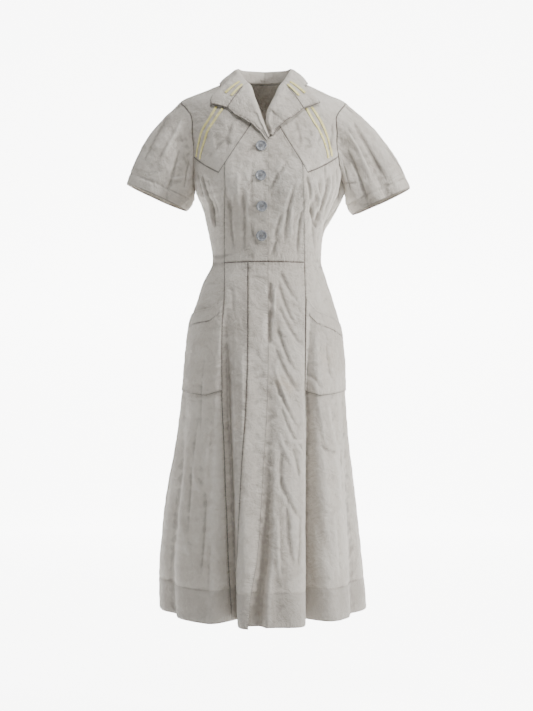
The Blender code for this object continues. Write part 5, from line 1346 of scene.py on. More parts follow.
def make_pocket(side, side_panel, finish, stitches):
    """A patch made from the side panel's own points, moved out, with its front edge in the seam."""
    points, normal = (grid[POCKET_COLUMN:, BELOW_POCKET_ROWS:BELOW_POCKET_ROWS + POCKET_ROWS + 1]
                      for grid in side_panel)
    s = np.linspace(0.0, 1.0, points.shape[0])[:, None]
    t = np.linspace(0.0, 1.0, points.shape[1])[None, :]
    belly = POCKET_BELLY * np.sin(math.pi * s) * (0.3 + 0.7 * t)
    outer = points + normal * (LAID_ON_GAP + WALL + belly)[..., None]
    first, last, bottom, top = distances(outer)
    edge = np.minimum(np.minimum(first, last), bottom)
    band = top - POCKET_BAND
    puckers = (np.exp(-np.minimum(first, last) / PUCKER_REACH),
               np.exp(-np.minimum(bottom, np.abs(band)) / PUCKER_REACH))
    relief = band_relief(band)
    waves = puckers[0] * uneven_wave(bottom) + puckers[1] * uneven_wave(first + POCKET_WAVE_START)
    relief = relief + PUCKER_HEIGHT * waves
    relief = relief * ease(edge / POCKET_EDGE)
    outer = outer + normal * relief[..., None]
    cloth_shell(side + "_pocket", outer, normal, finish, puckers=puckers)
    row = int(np.argmin(np.abs(band.mean(axis=0))))
    stitches.run(outer[:, row], normal[:, row])
    stitches.run(outer[:, 1], normal[:, 1])
    stitches.run(outer[-2], normal[-2])
    stitches.run(outer[1], normal[1])
    stitches.run(outer[:, -2], normal[:, -2])


def make_yoke(side, finish):
    corner = YOKE_CORNER_SHARE
    arm = stretch(lambda share: armhole(side, share), YOKE_ARMHOLE_END, 0.0)
    shoulder_x = SIDES[side] * float(body_column(side, NECK_SEAM))
    neck = front_line(YOKE_NECK_SHARES, (YOKE_TOP_END[side], YOKE_NECK[side], GORGE[side],
                                         SIDE_NECK[side], (shoulder_x, NECK_SEAM)))
    bottom = joined(stretched(0.0, corner, yoke_low_edge(side)), stretched(corner, 1.0, yoke_seam(side)))
    tip = armhole(side, 0.0)
    top = line((0.0, 1.0), ((float(tip[0]), float(tip[1])), (mirrored_turn(side, 90), NECK_SEAM)))
    rows = np.linspace(0, 1, YOKE_ARM_CELLS + 1)
    turn, height = flat_patch(bottom, top, arm, neck, shoulder_shares(), rows)
    return panel(side + "_yoke", turn, height, finish)


def make_front_bodice(side, finish):
    """From the waist seam to the yoke's slanted seam, between the princess seam and the lap."""
    rows = BODICE_SIDE_ROWS + SIDE_ARM_CELLS
    lap_share = BODICE_SIDE_ROWS / rows
    lap_top = FRONT_NECK[side][0]
    seam_top = princess_top(side)

    def outer(share):
        height = WAIST + (seam_top[1] - WAIST) * np.asarray(share)
        return princess_turn(side, height), height

    lap = seam_between((lap_top.x, WAIST), (lap_top.x, lap_top.height))
    neck = front_line([row.share for row in FRONT_NECK[side]],
                      [(row.x, row.height) for row in FRONT_NECK[side]])
    inner = joined(stretched(0.0, lap_share, lap), stretched(lap_share, 1.0, neck))
    bottom = line((0.0, 1.0), ((float(princess_turn(side, WAIST)), WAIST), on_front(lap_top.x, WAIST)))
    top = stretch(yoke_seam(side), princess_share(side), 1.0)
    turn, height = patch(bottom, top, outer, inner, spaced(FRONT_COLUMNS, 0.2), np.linspace(0, 1, rows + 1))
    return panel(side + "_front_bodice", turn, height, finish, lambda x, h: lap_lift(side, x))


def skirt_level(share, mouth):
    """Height in the skirt by share of its rows, with a row on the pocket's bottom and one on its mouth."""
    bottom_share = BELOW_POCKET_ROWS / SKIRT_ROWS
    mouth_share = bottom_share + POCKET_ROWS / SKIRT_ROWS
    return np.interp(share, (0.0, bottom_share, mouth_share, 1.0), (HEM, POCKET_BOTTOM, mouth, WAIST))


def make_side_panel(side, finish):
    """In one piece from the hem to the yoke and the armhole, with no seam at the waist."""
    rows = SKIRT_ROWS + BODICE_SIDE_ROWS + SIDE_ARM_CELLS
    waist_share = SKIRT_ROWS / rows
    under_share = (SKIRT_ROWS + BODICE_SIDE_ROWS) / rows
    quarter = mirrored_turn(side, 90)
    under_height = float(armhole(side, UNDERARM_SHARE)[1])
    seam_top = princess_top(side)
    mouth_side = POCKET_MOUTH_SIDE[side]
    outer = joined(
        stretched(0.0, waist_share, lambda share: (quarter + 0 * share, skirt_level(share, mouth_side))),
        stretched(waist_share, under_share, line((0.0, 1.0), ((quarter, WAIST), (quarter, under_height)))),
        stretched(under_share, 1.0, stretch(lambda share: armhole(side, share),
                                            UNDERARM_SHARE, YOKE_ARMHOLE_END)))

    def inner(share):
        skirt = skirt_level(np.clip(share / waist_share, 0, 1), POCKET_MOUTH)
        bodice = np.clip((share - waist_share) / (1 - waist_share), 0, 1) * (seam_top[1] - WAIST)
        height = skirt + bodice
        return princess_turn(side, height), height

    hem = line((0.0, 1.0), ((quarter, HEM), (float(princess_turn(side, HEM)), HEM)))
    corner = SIDE_CORNER_SHARE
    top = joined(stretched(0.0, corner, yoke_low_edge(side)),
                 stretched(corner, 1.0, stretch(yoke_seam(side), 0.0, princess_share(side))))
    across = np.concatenate([spaced(SIDE_COLUMNS) * corner, np.linspace(corner, 1, PRINCESS_COLUMNS + 1)[1:]])
    turn, height = patch(hem, top, outer, inner, across, np.linspace(0, 1, rows + 1))
    return panel(side + "_side_panel", turn, height, finish)


def make_skirt_piece(name, first, last, across, finish, lift_rule=None):
    """A skirt piece from the hem to the waist between two lines, each a turn by height."""
    heights = skirt_level(np.linspace(0, 1, SKIRT_ROWS + 1), POCKET_MOUTH)
    start = np.broadcast_to(first(heights), heights.shape)
    end = np.broadcast_to(last(heights), heights.shape)
    turn = start[None, :] + (end - start)[None, :] * across[:, None]
    height = np.broadcast_to(heights, turn.shape)
    panel(name, turn, height, finish, lift_rule)


def make_skirt(finish):
    def lap_edge(height):
        return turn_at(lap_row("edge", height), height)

    def placket_edge(height):
        return turn_at(lap_row("edge", height) - PLACKET_WIDTH, height)

    def underlap_edge(height):
        return turn_at(lap_row("edge", height) - lap_row("over", height), height)

    make_skirt_piece("right_front_skirt", lambda h: princess_turn("right", h), placket_edge,
                     spaced(RIGHT_SKIRT_COLUMNS, 0.4), finish, lambda x, h: lap_lift("right", x, h))
    make_skirt_piece("front_placket", placket_edge, lap_edge, spaced(PLACKET_COLUMNS), finish,
                     lambda x, h: lap_lift("right", x, h) + PLACKET_RISE)
    make_skirt_piece("left_front_skirt", underlap_edge, lambda h: princess_turn("left", h),
                     spaced(LEFT_SKIRT_COLUMNS, 0.3), finish, lambda x, h: lap_lift("left", x, h))
    make_skirt_piece("back_skirt", lambda h: math.radians(90), lambda h: math.radians(270),
                     spaced(BACK_SKIRT_COLUMNS), finish)


def make_back_bodice(finish):
    """One piece from armhole to armhole, with the neck and both shoulders at its top."""
    rows = BODICE_SIDE_ROWS + BACK_ARM_CELLS
    under_share = BODICE_SIDE_ROWS / rows
    columns = 2 * SHOULDER_COLUMNS + NECK_COLUMNS
    shoulder_share = SHOULDER_COLUMNS / columns

    def border(side, whole_turn):
        quarter = mirrored_turn(side, 90) + whole_turn
        under_height = float(armhole(side, UNDERARM_SHARE)[1])

        def arm(share):
            turn, height = armhole(side, UNDERARM_SHARE + (1 - UNDERARM_SHARE) * np.asarray(share))
            return turn + whole_turn, height
        return joined(
            stretched(0.0, under_share, line((0.0, 1.0), ((quarter, WAIST), (quarter, under_height)))),
            stretched(under_share, 1.0, arm))

    quarter, three_quarters = math.radians(90), math.radians(270)
    waist = line((0.0, 1.0), ((quarter, WAIST), (three_quarters, WAIST)))
    tip = {side: float(armhole(side, 0.0)[1]) for side in SIDES}
    top = joined(
        stretched(0.0, shoulder_share, line((0.0, 1.0), ((quarter, tip["left"]), (quarter, NECK_SEAM)))),
        stretched(shoulder_share, 1 - shoulder_share,
                  line((0.0, 1.0), ((quarter, NECK_SEAM), (three_quarters, NECK_SEAM)))),
        stretched(1 - shoulder_share, 1.0,
                  line((0.0, 1.0), ((three_quarters, NECK_SEAM), (three_quarters, tip["right"])))))
    shoulder = shoulder_shares() * shoulder_share
    neck = np.linspace(shoulder_share, 1 - shoulder_share, NECK_COLUMNS + 1)[1:-1]
    across = np.concatenate([shoulder, neck, 1 - shoulder[::-1]])
    turn, height = flat_patch(waist, top, border("left", 0.0), border("right", 2 * math.pi),
                              across, np.linspace(0, 1, rows + 1), behind=True)
    return panel("back_bodice", turn, height, finish)

COLLAR_CORNER_SECTIONS = 12

# Stitches
STITCH_LENGTH = 0.0026
STITCH_STEP = 0.0038
STITCH_RADIUS = 0.00032
STITCH_SIDES = 4
EDGE_STITCH = 0.0035
POCKET_BAND = 0.029
POCKET_EDGE = 0.004
POCKET_WAVE_START = 0.7
ROW_WAVE_START = 0.4
PLACKET_STITCH = 0.0030


class Stitches:
    """Short raised dashes along lines on the cloth, gathered into one mesh."""

    def __init__(self):
        self.vertices = []
        self.faces = []

    def dash(self, start, end, out):
        """A spindle from start to end, half sunk in the cloth."""
        along = unit(end - start)
        side = unit(np.cross(along, out))
        up = np.cross(side, along)
        base = len(self.vertices)
        self.vertices.append(start)
        for share in (0.25, 0.75):
            middle = start + (end - start) * share
            for step in range(STITCH_SIDES):
                angle = 2 * math.pi * (step + 0.5) / STITCH_SIDES
                self.vertices.append(middle + (side * math.cos(angle) + up * math.sin(angle)) * STITCH_RADIUS)
        self.vertices.append(end)
        last = base + 2 * STITCH_SIDES + 1
        for step in range(STITCH_SIDES):
            follow = (step + 1) % STITCH_SIDES
            near, far = base + 1, base + 1 + STITCH_SIDES
            self.faces.append((base, near + follow, near + step))
            self.faces.append((near + step, near + follow, far + follow, far + step))
            self.faces.append((far + step, far + follow, last))

    def run(self, points, normals, sink=0.0):
        """Dashes along a line of points on the cloth."""
        steps = np.linalg.norm(np.diff(points, axis=0), axis=1)
        travel = np.concatenate([[0.0], np.cumsum(steps)])
        starts = np.arange(STITCH_STEP, travel[-1] - STITCH_STEP, STITCH_STEP)
        ends = {}
        for key, places in (("start", starts), ("end", starts + STITCH_LENGTH)):
            at = np.stack([np.interp(places, travel, points[:, axis]) for axis in range(3)], axis=-1)
            out = unit(np.stack([np.interp(places, travel, normals[:, axis]) for axis in range(3)], axis=-1))
            ends[key] = at + out * (0.00012 - sink)
        for start, end, normal in zip(ends["start"], ends["end"], out):
            self.dash(start, end, normal)

    def make(self, name, finish):
        made = linked(name, self.vertices, self.faces, finish)
        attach(made, "root")


def on_cloth(turn, height, lift_rule=None):
    """Points and directions on the cloth along a line of turns and heights."""
    def face(t, h):
        return lifted_skin(t, h, lift_rule) if lift_rule else skin(t, h)
    turn, height = np.broadcast_arrays(np.asarray(turn, float), np.asarray(height, float))
    return face(turn, height), normal_of(face, turn, height)


# Distances kept from a line's ends and from the seams beside it
LINE_END = 0.006
PLACKET_TOP_END = 0.002
PLACKET_TOP_LINES = (0.0035, 0.0070)
LAP_LINE_START = 0.004
WAIST_LINE = {"right": (-0.086, -0.030), "left": (0.086, 0.012)}
WAIST_LINE_RISE = 0.003
YOKE_LINE = (0.0022, 0.0016)
YOKE_LOW_RISE = 0.0025
PRINCESS_LINE = 0.0024
UNDERLAP_END = 0.004
SEAM_LINE_START = 0.004


def stitch_seams(stitches):
    """Rows of stitches on the panels: the lap, the placket, the waist, the yokes, the seams and the hem."""
    def front_rule(side, rise=0.0):
        return lambda x, h: lap_lift(side, x, h) + rise

    def bodice_rule(side):
        return lambda x, h: lap_lift(side, x)

    def sew(x, height, rule=None):
        stitches.run(*on_cloth(turn_at(x, height), height, rule))

    placket_rule = front_rule("right", PLACKET_RISE)
    down = np.linspace(WAIST - LINE_END, HEM + LINE_END, 260)
    sew(lap_row("edge", down) - PLACKET_WIDTH + PLACKET_STITCH, down, placket_rule)
    sew(lap_row("edge", down) - PLACKET_STITCH, down, placket_rule)
    placket_start = lap_row("edge", WAIST) - PLACKET_WIDTH
    top = np.linspace(placket_start + PLACKET_TOP_END, LAP_EDGE - PLACKET_TOP_END, 40)
    for below in PLACKET_TOP_LINES:
        sew(top, np.full_like(top, WAIST - below), placket_rule)
    up = np.linspace(WAIST + LAP_LINE_START, FRONT_NECK["right"][0].height, 110)
    sew(LAP_EDGE - PLACKET_STITCH + 0 * up, up, bodice_rule("right"))
    for side, sign in SIDES.items():
        waist = np.linspace(*WAIST_LINE[side], 70)
        sew(waist, np.full_like(waist, WAIST + WAIST_LINE_RISE), bodice_rule(side))
        corner, end = YOKE_CORNER[side], YOKE_TOP_END[side]
        share = np.linspace(0.02, 0.97, 90)
        x = corner[0] + (end[0] - corner[0]) * share
        height = corner[1] + (end[1] - corner[1]) * share
        sew(x + sign * YOKE_LINE[0], height + YOKE_LINE[1])
        turn, height = yoke_low_edge(side)(np.linspace(0.03, 0.97, 50))
        stitches.run(*on_cloth(turn, height + YOKE_LOW_RISE))
        seam = np.linspace(princess_top(side)[1] - SEAM_LINE_START, HEM + LINE_END, 330)
        sew(princess_at(side, seam) + sign * PRINCESS_LINE, seam)
        hem = np.linspace(mirrored_turn(side, 90), float(turn_at(princess_at(side, HEM), HEM)), 130)
        stitches.run(*on_cloth(hem, HEM + HEM_BAND))
    stitches.run(*on_cloth(np.linspace(math.radians(90), math.radians(270), 420), HEM + HEM_BAND))
    line = HEM + HEM_BAND
    edge = float(lap_row("edge", line))
    sew(np.linspace(float(princess_at("right", line)), edge - PLACKET_WIDTH, 50), line, front_rule("right"))
    sew(np.linspace(edge - PLACKET_WIDTH, edge, 50), line, placket_rule)
    left = np.linspace(edge - UNDERLAP_END, float(princess_at("left", line)), 120)
    sew(left, line, front_rule("left"))


# Braid sections: share of the half width and of the thickness
BRAID_SECTION = ((-1.0, 0.45), (-0.86, 0.85), (-0.55, 1.0), (-0.12, 0.98), (0.0, 0.70), (0.12, 0.98),
                 (0.55, 1.0), (0.86, 0.85), (1.0, 0.45))
BRAID_RIB_STEP = 0.0021
BRAID_RIB = 0.00012


def ribbon(name, centre, across, normal, finish):
    """A flat braid with two rounded cords and fine ribs, along a line of points on its outer face."""
    travel = np.concatenate([[0.0], np.cumsum(np.linalg.norm(np.diff(centre, axis=0), axis=1))])
    half = unit(across) * BRAID_WIDTH / 2
    base = centre - normal * BRAID_THICKNESS
    lines = []
    for share, rise in BRAID_SECTION:
        rib = BRAID_RIB * np.sin(2 * math.pi * travel / BRAID_RIB_STEP + 3.0 * abs(share))
        lines.append(base + half * share + normal * (BRAID_THICKNESS * rise + rib)[:, None])
    outer = np.stack(lines, axis=1)
    floor = np.stack([base + half * share for share, _ in BRAID_SECTION], axis=1)
    vertices = np.concatenate([outer.reshape(-1, 3), floor.reshape(-1, 3)])
    faces = shell_faces(*outer.shape[:2], False)
    corners = vertices[faces[0]]
    if np.cross(corners[1] - corners[0], corners[3] - corners[0]) @ normal[0] < 0:
        faces = faces[:, ::-1]
    made = linked(name + "_trim", vertices, faces, finish)
    share = np.array([row[0] for row in BRAID_SECTION])
    uv = np.stack(np.broadcast_arrays(share[None, :], travel[:, None]), axis=-1).reshape(-1, 2)
    write_uv(made.data, np.concatenate([uv, uv]))
    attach(made, "root")
    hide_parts(name)


def make_yoke_braid(name, places, finish):
    knots = np.linspace(0, 1, len(places))
    shares = np.linspace(0, 1, BRAID_CELLS + 1)
    x = smooth_read(knots, [place[0] for place in places], shares)
    height = smooth_read(knots, [place[1] for place in places], shares)
    point, normal = face_point(x, height)
    centre = point + normal * (LAID_ON_GAP + BRAID_THICKNESS)
    across = np.cross(normal, np.gradient(centre, axis=0))
    ribbon(name, centre, across, normal, finish)


def make_collar_braid(side, name, share, front, back, finish):
    """A braid across the collar's fall at one share of the way round the neck."""
    along = np.linspace(COLLAR_BRAID_START, COLLAR_BRAID_END, BRAID_CELLS + 1)
    lines = []
    for section in collar_points(side, front, back, np.array([share, share + 0.02])):
        lines.append(read_columns(FALL_KNOTS, section[3:], along))
    centre, beside = lines
    normal = unit(np.cross(beside - centre, np.gradient(centre, axis=0)))
    normal *= -np.sign(normal[:, 1:2])
    across = np.cross(normal, np.gradient(centre, axis=0))
    ribbon("%s_collar_braid_%s" % (side, name), centre + normal * (LAID_ON_GAP + BRAID_THICKNESS + 0.0004),
           across, normal, finish)


# Buttons and buttonholes
BUTTON_PROFILE = ((0.0, 0.0), (0.80, 0.0), (0.92, 0.10), (1.0, 0.36), (1.0, 0.56), (0.97, 0.84), (0.93, 0.96),
                  (0.87, 1.0), (0.81, 0.96), (0.77, 0.84), (0.72, 0.72), (0.62, 0.66), (0.40, 0.62),
                  (0.0, 0.61))
BUTTON_SIDES = 56
HOLE_SIDES = 20
THREAD_RADIUS = 0.00042
THREAD_RISE = 0.00045
THREAD_LEVEL = 0.62
# A thread's way across the button: share of the hole spacing, and how many rises up
THREAD_PATH = ((-0.62, -1.4), (-0.3, 0.6), (0.3, 0.6), (0.62, -1.4))
BUTTONHOLE_LENGTH = 0.0250
BUTTONHOLE_SHIFT = -0.0068
BUTTONHOLE_STITCH = 0.0011
BUTTONHOLE_STEPS = 34
BUTTONHOLE_SLIT = 0.0002
BUTTONHOLE_RISE = 0.0003
BUTTONHOLE_SINK = 0.0001


def make_button(index, place, finish, cutters):
    """A turned disc with a raised rim, a dished middle and four thread holes."""
    point, normal = face_point(*place)
    shape = bmesh.new()
    points = [shape.verts.new((r * BUTTON_RADIUS, 0.0, z * BUTTON_THICKNESS)) for r, z in BUTTON_PROFILE]
    edges = [shape.edges.new(pair) for pair in zip(points[:-1], points[1:])]
    bmesh.ops.spin(shape, geom=points + edges, cent=(0, 0, 0), axis=(0, 0, 1), angle=2 * math.pi,
                   steps=BUTTON_SIDES, use_merge=True)
    bmesh.ops.remove_doubles(shape, verts=shape.verts, dist=1e-6)
    bmesh.ops.recalc_face_normals(shape, faces=shape.faces)
    mesh = bpy.data.meshes.new("button_blank")
    shape.to_mesh(mesh)
    shape.free()
    blank = bpy.data.objects.new("button_blank", mesh)
    bpy.context.scene.collection.objects.link(blank)
    for cutter in cutters:
        cut = blank.modifiers.new("thread_hole", "BOOLEAN")
        cut.object = cutter
    drilled = bpy.data.meshes.new_from_object(blank.evaluated_get(bpy.context.evaluated_depsgraph_get()))
    bpy.data.objects.remove(blank, do_unlink=True)
    drilled.materials.clear()
    drilled.materials.append(finish)
    drilled.shade_smooth()
    drilled.set_sharp_from_angle(angle=math.radians(40))
    made = bpy.data.objects.new("button_%d_disc" % (index + 1), drilled)
    bpy.context.scene.collection.objects.link(made)
    made.location = point + normal * (lap_lift("right", place[0]) + BUTTON_SEAT)
    made.rotation_mode = "QUATERNION"
    made.rotation_quaternion = Vector(normal).to_track_quat("Z", "Y")
    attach(made, "root")
    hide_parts("button_%d" % (index + 1))
    return made


def make_cutters():
    cutters = []
    for across in (-0.5, 0.5):
        for along in (-0.5, 0.5):
            shape = bmesh.new()
            bmesh.ops.create_cone(shape, cap_ends=True, segments=HOLE_SIDES, radius1=HOLE_RADIUS,
                                  radius2=HOLE_RADIUS, depth=BUTTON_THICKNESS * 3)
            place = (across * HOLE_SPACING, along * HOLE_SPACING, 0.0)
            bmesh.ops.translate(shape, verts=shape.verts, vec=place)
            mesh = bpy.data.meshes.new("thread_hole")
            shape.to_mesh(mesh)
            shape.free()
            cutter = bpy.data.objects.new("thread_hole", mesh)
            bpy.context.scene.collection.objects.link(cutter)
            cutters.append(cutter)
    return cutters


def sew_button(button, threads):
    """Two short bars of thread between the holes."""
    turn = button.rotation_quaternion.to_matrix()
    origin = np.array(button.location)
    out = np.array(turn @ Vector((0, 0, 1)))
    level = BUTTON_THICKNESS * THREAD_LEVEL
    for across in (-0.5, 0.5):
        for spread in (-0.5, 0.5):
            x = across * HOLE_SPACING + spread * THREAD_RADIUS
            ends = [np.array(turn @ Vector((x, along * HOLE_SPACING, level + THREAD_RISE * lift)))
                    for along, lift in THREAD_PATH]
            for start, end in zip(ends[:-1], ends[1:]):
                threads.dash(origin + start, origin + end, out)


def sew_buttonhole(place, threads):
    """Close stitches square to a slit that runs out beside the button."""
    centre_x, height = place[0] + BUTTONHOLE_SHIFT, place[1]
    for step in range(BUTTONHOLE_STEPS + 1):
        q = step / BUTTONHOLE_STEPS
        x = centre_x + (q - 0.5) * BUTTONHOLE_LENGTH
        for edge in (-1, 1):
            near = height + edge * BUTTONHOLE_SLIT
            heights = np.array([near, near + edge * BUTTONHOLE_STITCH])
            points, normals = on_cloth(turn_at(np.array([x, x]), heights), heights,
                                       lambda a, h: lap_lift("right", a))
            start = points[0] + normals[0] * BUTTONHOLE_RISE
            threads.dash(start, points[1] + normals[1] * BUTTONHOLE_SINK, normals[0])


class Nodes:
    """Short calls for building a material's node tree."""

    def __init__(self, name):
        self.material = bpy.data.materials.new(name)
        self.material.use_nodes = True
        self.tree = self.material.node_tree
        self.shader = self.tree.nodes["Principled BSDF"]

    def node(self, kind, inputs=None, **settings):
        made = self.tree.nodes.new(kind)
        for key, value in settings.items():
            setattr(made, key, value)
        for key, value in (inputs or {}).items():
            if isinstance(value, bpy.types.NodeSocket):
                self.tree.links.new(value, made.inputs[key])
            else:
                made.inputs[key].default_value = value
        return made

    def math(self, operation, first, second=0.0, clamp=False):
        made = self.node("ShaderNodeMath", {0: first, 1: second}, operation=operation, use_clamp=clamp)
        return made.outputs[0]

    def scaled(self, vector, scale):
        made = self.node("ShaderNodeMapping", {"Vector": vector, "Scale": scale})
        return made.outputs["Vector"]

    def noise(self, vector, scale, detail=3.0, roughness=0.5, distortion=0.0):
        made = self.node("ShaderNodeTexNoise", {"Vector": vector, "Scale": scale, "Detail": detail,
                                                "Roughness": roughness, "Distortion": distortion})
        return made.outputs["Fac"]

    def ramp(self, value, low, high, bottom=0.0, top=1.0):
        ends = {"From Min": low, "From Max": high, "To Min": bottom, "To Max": top}
        made = self.node("ShaderNodeMapRange", {"Value": value, **ends}, interpolation_type="SMOOTHSTEP")
        return made.outputs["Result"]

    def mix(self, share, first, second):
        made = self.node("ShaderNodeMix", {0: share}, data_type="RGBA")
        for index, value in ((6, first), (7, second)):
            if isinstance(value, bpy.types.NodeSocket):
                self.tree.links.new(value, made.inputs[index])
            else:
                made.inputs[index].default_value = (*value, 1.0)
        return made.outputs[2]

    def bump(self, height, distance, strength=1.0, normal=None):
        inputs = {"Height": height, "Distance": distance, "Strength": strength}
        if normal is not None:
            inputs["Normal"] = normal
        return self.node("ShaderNodeBump", inputs).outputs["Normal"]

    def connect(self, **sockets):
        for key, value in sockets.items():
            target = self.shader.inputs[key.replace("_", " ")]
            if isinstance(value, bpy.types.NodeSocket):
                self.tree.links.new(value, target)
            else:
                target.default_value = value
        return self.material


def srgb(red, green, blue):
    """A colour given as 0 to 255 on screen, in the shader's own scale."""
    return tuple(((c / 255 + 0.055) / 1.055) ** 2.4 for c in (red, green, blue))


# Cotton
COTTON = srgb(192, 186, 177)
COTTON_DARK = srgb(172, 164, 154)
COTTON_PALE = srgb(216, 211, 202)
# Mix shares: painted shade in hollows, painted highlight on ridges, painted shade along seams, then the
# darker hem band
HOLLOW_SHADE = 0.50
RIDGE_LIGHT = 0.38
SEAM_SHADE = 0.80
HEM_SHADE = 0.42
# Colours of the painted shade and the painted highlight, then of the darker hem band
COTTON_SHADE = srgb(104, 97, 90)
COTTON_LIGHT = srgb(224, 220, 212)
COTTON_HEM = srgb(150, 144, 137)
STAIN = srgb(186, 164, 132)
Stain = namedtuple("Stain", "x y height radius strength")
STAINS = (
    Stain(0.045, -0.160, -0.675, 0.040, 0.34),
    Stain(0.060, -0.165, -0.660, 0.024, 0.30),
    Stain(0.150, -0.120, -0.610, 0.045, 0.36),
    Stain(-0.060, -0.170, -0.760, 0.030, 0.14),
    Stain(0.020, 0.160, -0.800, 0.050, 0.16),
)


def cotton_material():
    """Washed cotton twill: diagonal weave, crumples at several scales, painted shade in hollows and along
    seams, painted highlight on ridges, and faint stains.
    """
    n = Nodes("washed_cotton")
    place = n.node("ShaderNodeTexCoord")
    body, uv = place.outputs["Object"], place.outputs["UV"]
    twill = n.node("ShaderNodeTexWave", {"Vector": uv, "Scale": 330.0, "Distortion": 0.6, "Detail": 1.0},
                   bands_direction="DIAGONAL").outputs["Fac"]
    crumple = n.noise(body, 26.0, 6.0, 0.58, 0.5)
    crackle = n.noise(body, 75.0, 5.0, 0.62, 0.8)
    slub = n.noise(n.scaled(uv, (90.0, 1400.0, 1.0)), 1.0, 2.0)
    columns = n.node("ShaderNodeAttribute", attribute_name="pucker_columns").outputs["Fac"]
    rows = n.node("ShaderNodeAttribute", attribute_name="pucker_rows").outputs["Fac"]
    beside = n.noise(n.scaled(uv, (45.0, 230.0, 1.0)), 1.0, 2.0)
    level = n.noise(n.scaled(uv, (230.0, 45.0, 1.0)), 1.0, 2.0)
    pucker = n.math("ADD", n.math("MULTIPLY", beside, columns), n.math("MULTIPLY", level, rows))
    blotch = n.noise(body, 7.0, 4.0, 0.55)
    mottle = n.noise(body, 130.0, 4.0, 0.65)
    colour = n.mix(n.ramp(blotch, 0.30, 0.72), COTTON_DARK, COTTON_PALE)
    colour = n.mix(0.55, colour, COTTON)
    # Painted highlight: paler where the crackle bump stands up
    colour = n.mix(n.math("MULTIPLY", n.ramp(crackle, 0.56, 0.74), 0.34), colour, COTTON_PALE)
    # Painted shade: darker where the crumple bump sinks
    colour = n.mix(n.math("MULTIPLY", n.ramp(crumple, 0.50, 0.30), 0.30), colour, COTTON_DARK)
    colour = n.mix(n.math("MULTIPLY", n.ramp(mottle, 0.40, 0.70), 0.22), colour, COTTON_PALE)
    # Painted highlight: paler on the raised puckers beside the seams
    colour = n.mix(n.math("MULTIPLY", n.ramp(pucker, 0.42, 0.62), 0.30), colour, COTTON_PALE)
    colour = n.mix(n.math("MULTIPLY", n.ramp(slub, 0.45, 0.75), 0.12), colour, COTTON_DARK)
    # Painted shade in the cloth's hollows and painted highlight on its ridges, broken up by the crackle noise
    hollow = n.node("ShaderNodeAttribute", attribute_name="hollow").outputs["Fac"]
    uneven = n.ramp(crackle, 0.30, 0.62, 0.55, 1.0)
    shade = n.ramp(hollow, 0.12, 1.0, 0.0, HOLLOW_SHADE)
    light = n.ramp(hollow, -0.15, -1.0, 0.0, RIDGE_LIGHT)
    colour = n.mix(n.math("MULTIPLY", shade, uneven), colour, COTTON_SHADE)
    colour = n.mix(n.math("MULTIPLY", light, uneven), colour, COTTON_LIGHT)
    # Painted shade along the seams, within about two millimetres of them
    at_seam = n.ramp(n.math("MAXIMUM", columns, rows), 0.74, 0.96, 0.0, SEAM_SHADE)
    colour = n.mix(at_seam, colour, COTTON_SHADE)
    level = n.node("ShaderNodeSeparateXYZ", {"Vector": body}).outputs["Z"]
    line = HEM + HEM_BAND
    colour = n.mix(n.ramp(level, line + 0.001, line - 0.002, 0.0, HEM_SHADE), colour, COTTON_HEM)
    patchy = n.ramp(n.noise(body, 38.0, 4.0, 0.6), 0.40, 0.62)
    for stain in STAINS:
        away = n.node("ShaderNodeVectorMath", {0: body, 1: (stain.x, stain.y, stain.height)},
                      operation="DISTANCE").outputs["Value"]
        share = n.math("MULTIPLY", n.ramp(away, stain.radius, 0.0, 0.0, stain.strength), patchy)
        colour = n.mix(share, colour, STAIN)
    normal = n.bump(crumple, 0.0090, 0.70)
    normal = n.bump(crackle, 0.0032, 0.75, normal)
    normal = n.bump(pucker, 0.0042, 0.90, normal)
    normal = n.bump(slub, 0.0003, 0.40, normal)
    normal = n.bump(twill, 0.00012, 0.35, normal)
    rough = n.ramp(mottle, 0.3, 0.7, 0.82, 0.94)
    return n.connect(Base_Color=colour, Roughness=rough, Normal=normal, Specular_IOR_Level=0.22,
                     Sheen_Weight=0.12, Sheen_Roughness=0.5)


def thread_material():
    n = Nodes("cotton_thread")
    body = n.node("ShaderNodeTexCoord").outputs["Object"]
    # The thread is its own grey made darker than the cloth, as painted shade, so each row of stitches reads
    # as a shaded line
    colour = n.mix(n.noise(body, 220.0), srgb(128, 121, 113), srgb(160, 153, 144))
    return n.connect(Base_Color=colour, Roughness=0.8, Specular_IOR_Level=0.2,
                     Normal=n.bump(n.noise(body, 1500.0), 0.0002, 0.5))


def braid_material():
    """Faded yellow braid, darker along its edges, with stitching and painted shade there, and painted shade
    in its middle groove.
    """
    n = Nodes("faded_braid")
    place = n.node("ShaderNodeTexCoord")
    split = n.node("ShaderNodeSeparateXYZ", {"Vector": place.outputs["UV"]})
    side = n.math("ABSOLUTE", split.outputs["X"])
    along = n.scaled(place.outputs["UV"], (0.0004, 1.0, 1.0))
    ribs = n.node("ShaderNodeTexWave", {"Vector": along, "Scale": 150.0, "Distortion": 0.8},
                  bands_direction="Y").outputs["Fac"]
    worn = n.noise(place.outputs["Object"], 160.0, 4.0, 0.6)
    colour = n.mix(n.ramp(worn, 0.3, 0.7), srgb(226, 214, 140), srgb(243, 236, 178))
    # Edges darker: their stitching together with painted shade; the middle groove darker: painted shade
    colour = n.mix(n.ramp(side, 0.78, 1.0, 0.0, 0.75), colour, srgb(150, 138, 96))
    colour = n.mix(n.ramp(side, 0.10, 0.0, 0.0, 0.25), colour, srgb(176, 164, 108))
    colour = n.mix(n.math("MULTIPLY", ribs, 0.16), colour, srgb(186, 172, 110))
    normal = n.bump(ribs, 0.0004, 0.6)
    return n.connect(Base_Color=colour, Roughness=0.72, Normal=normal, Specular_IOR_Level=0.3)


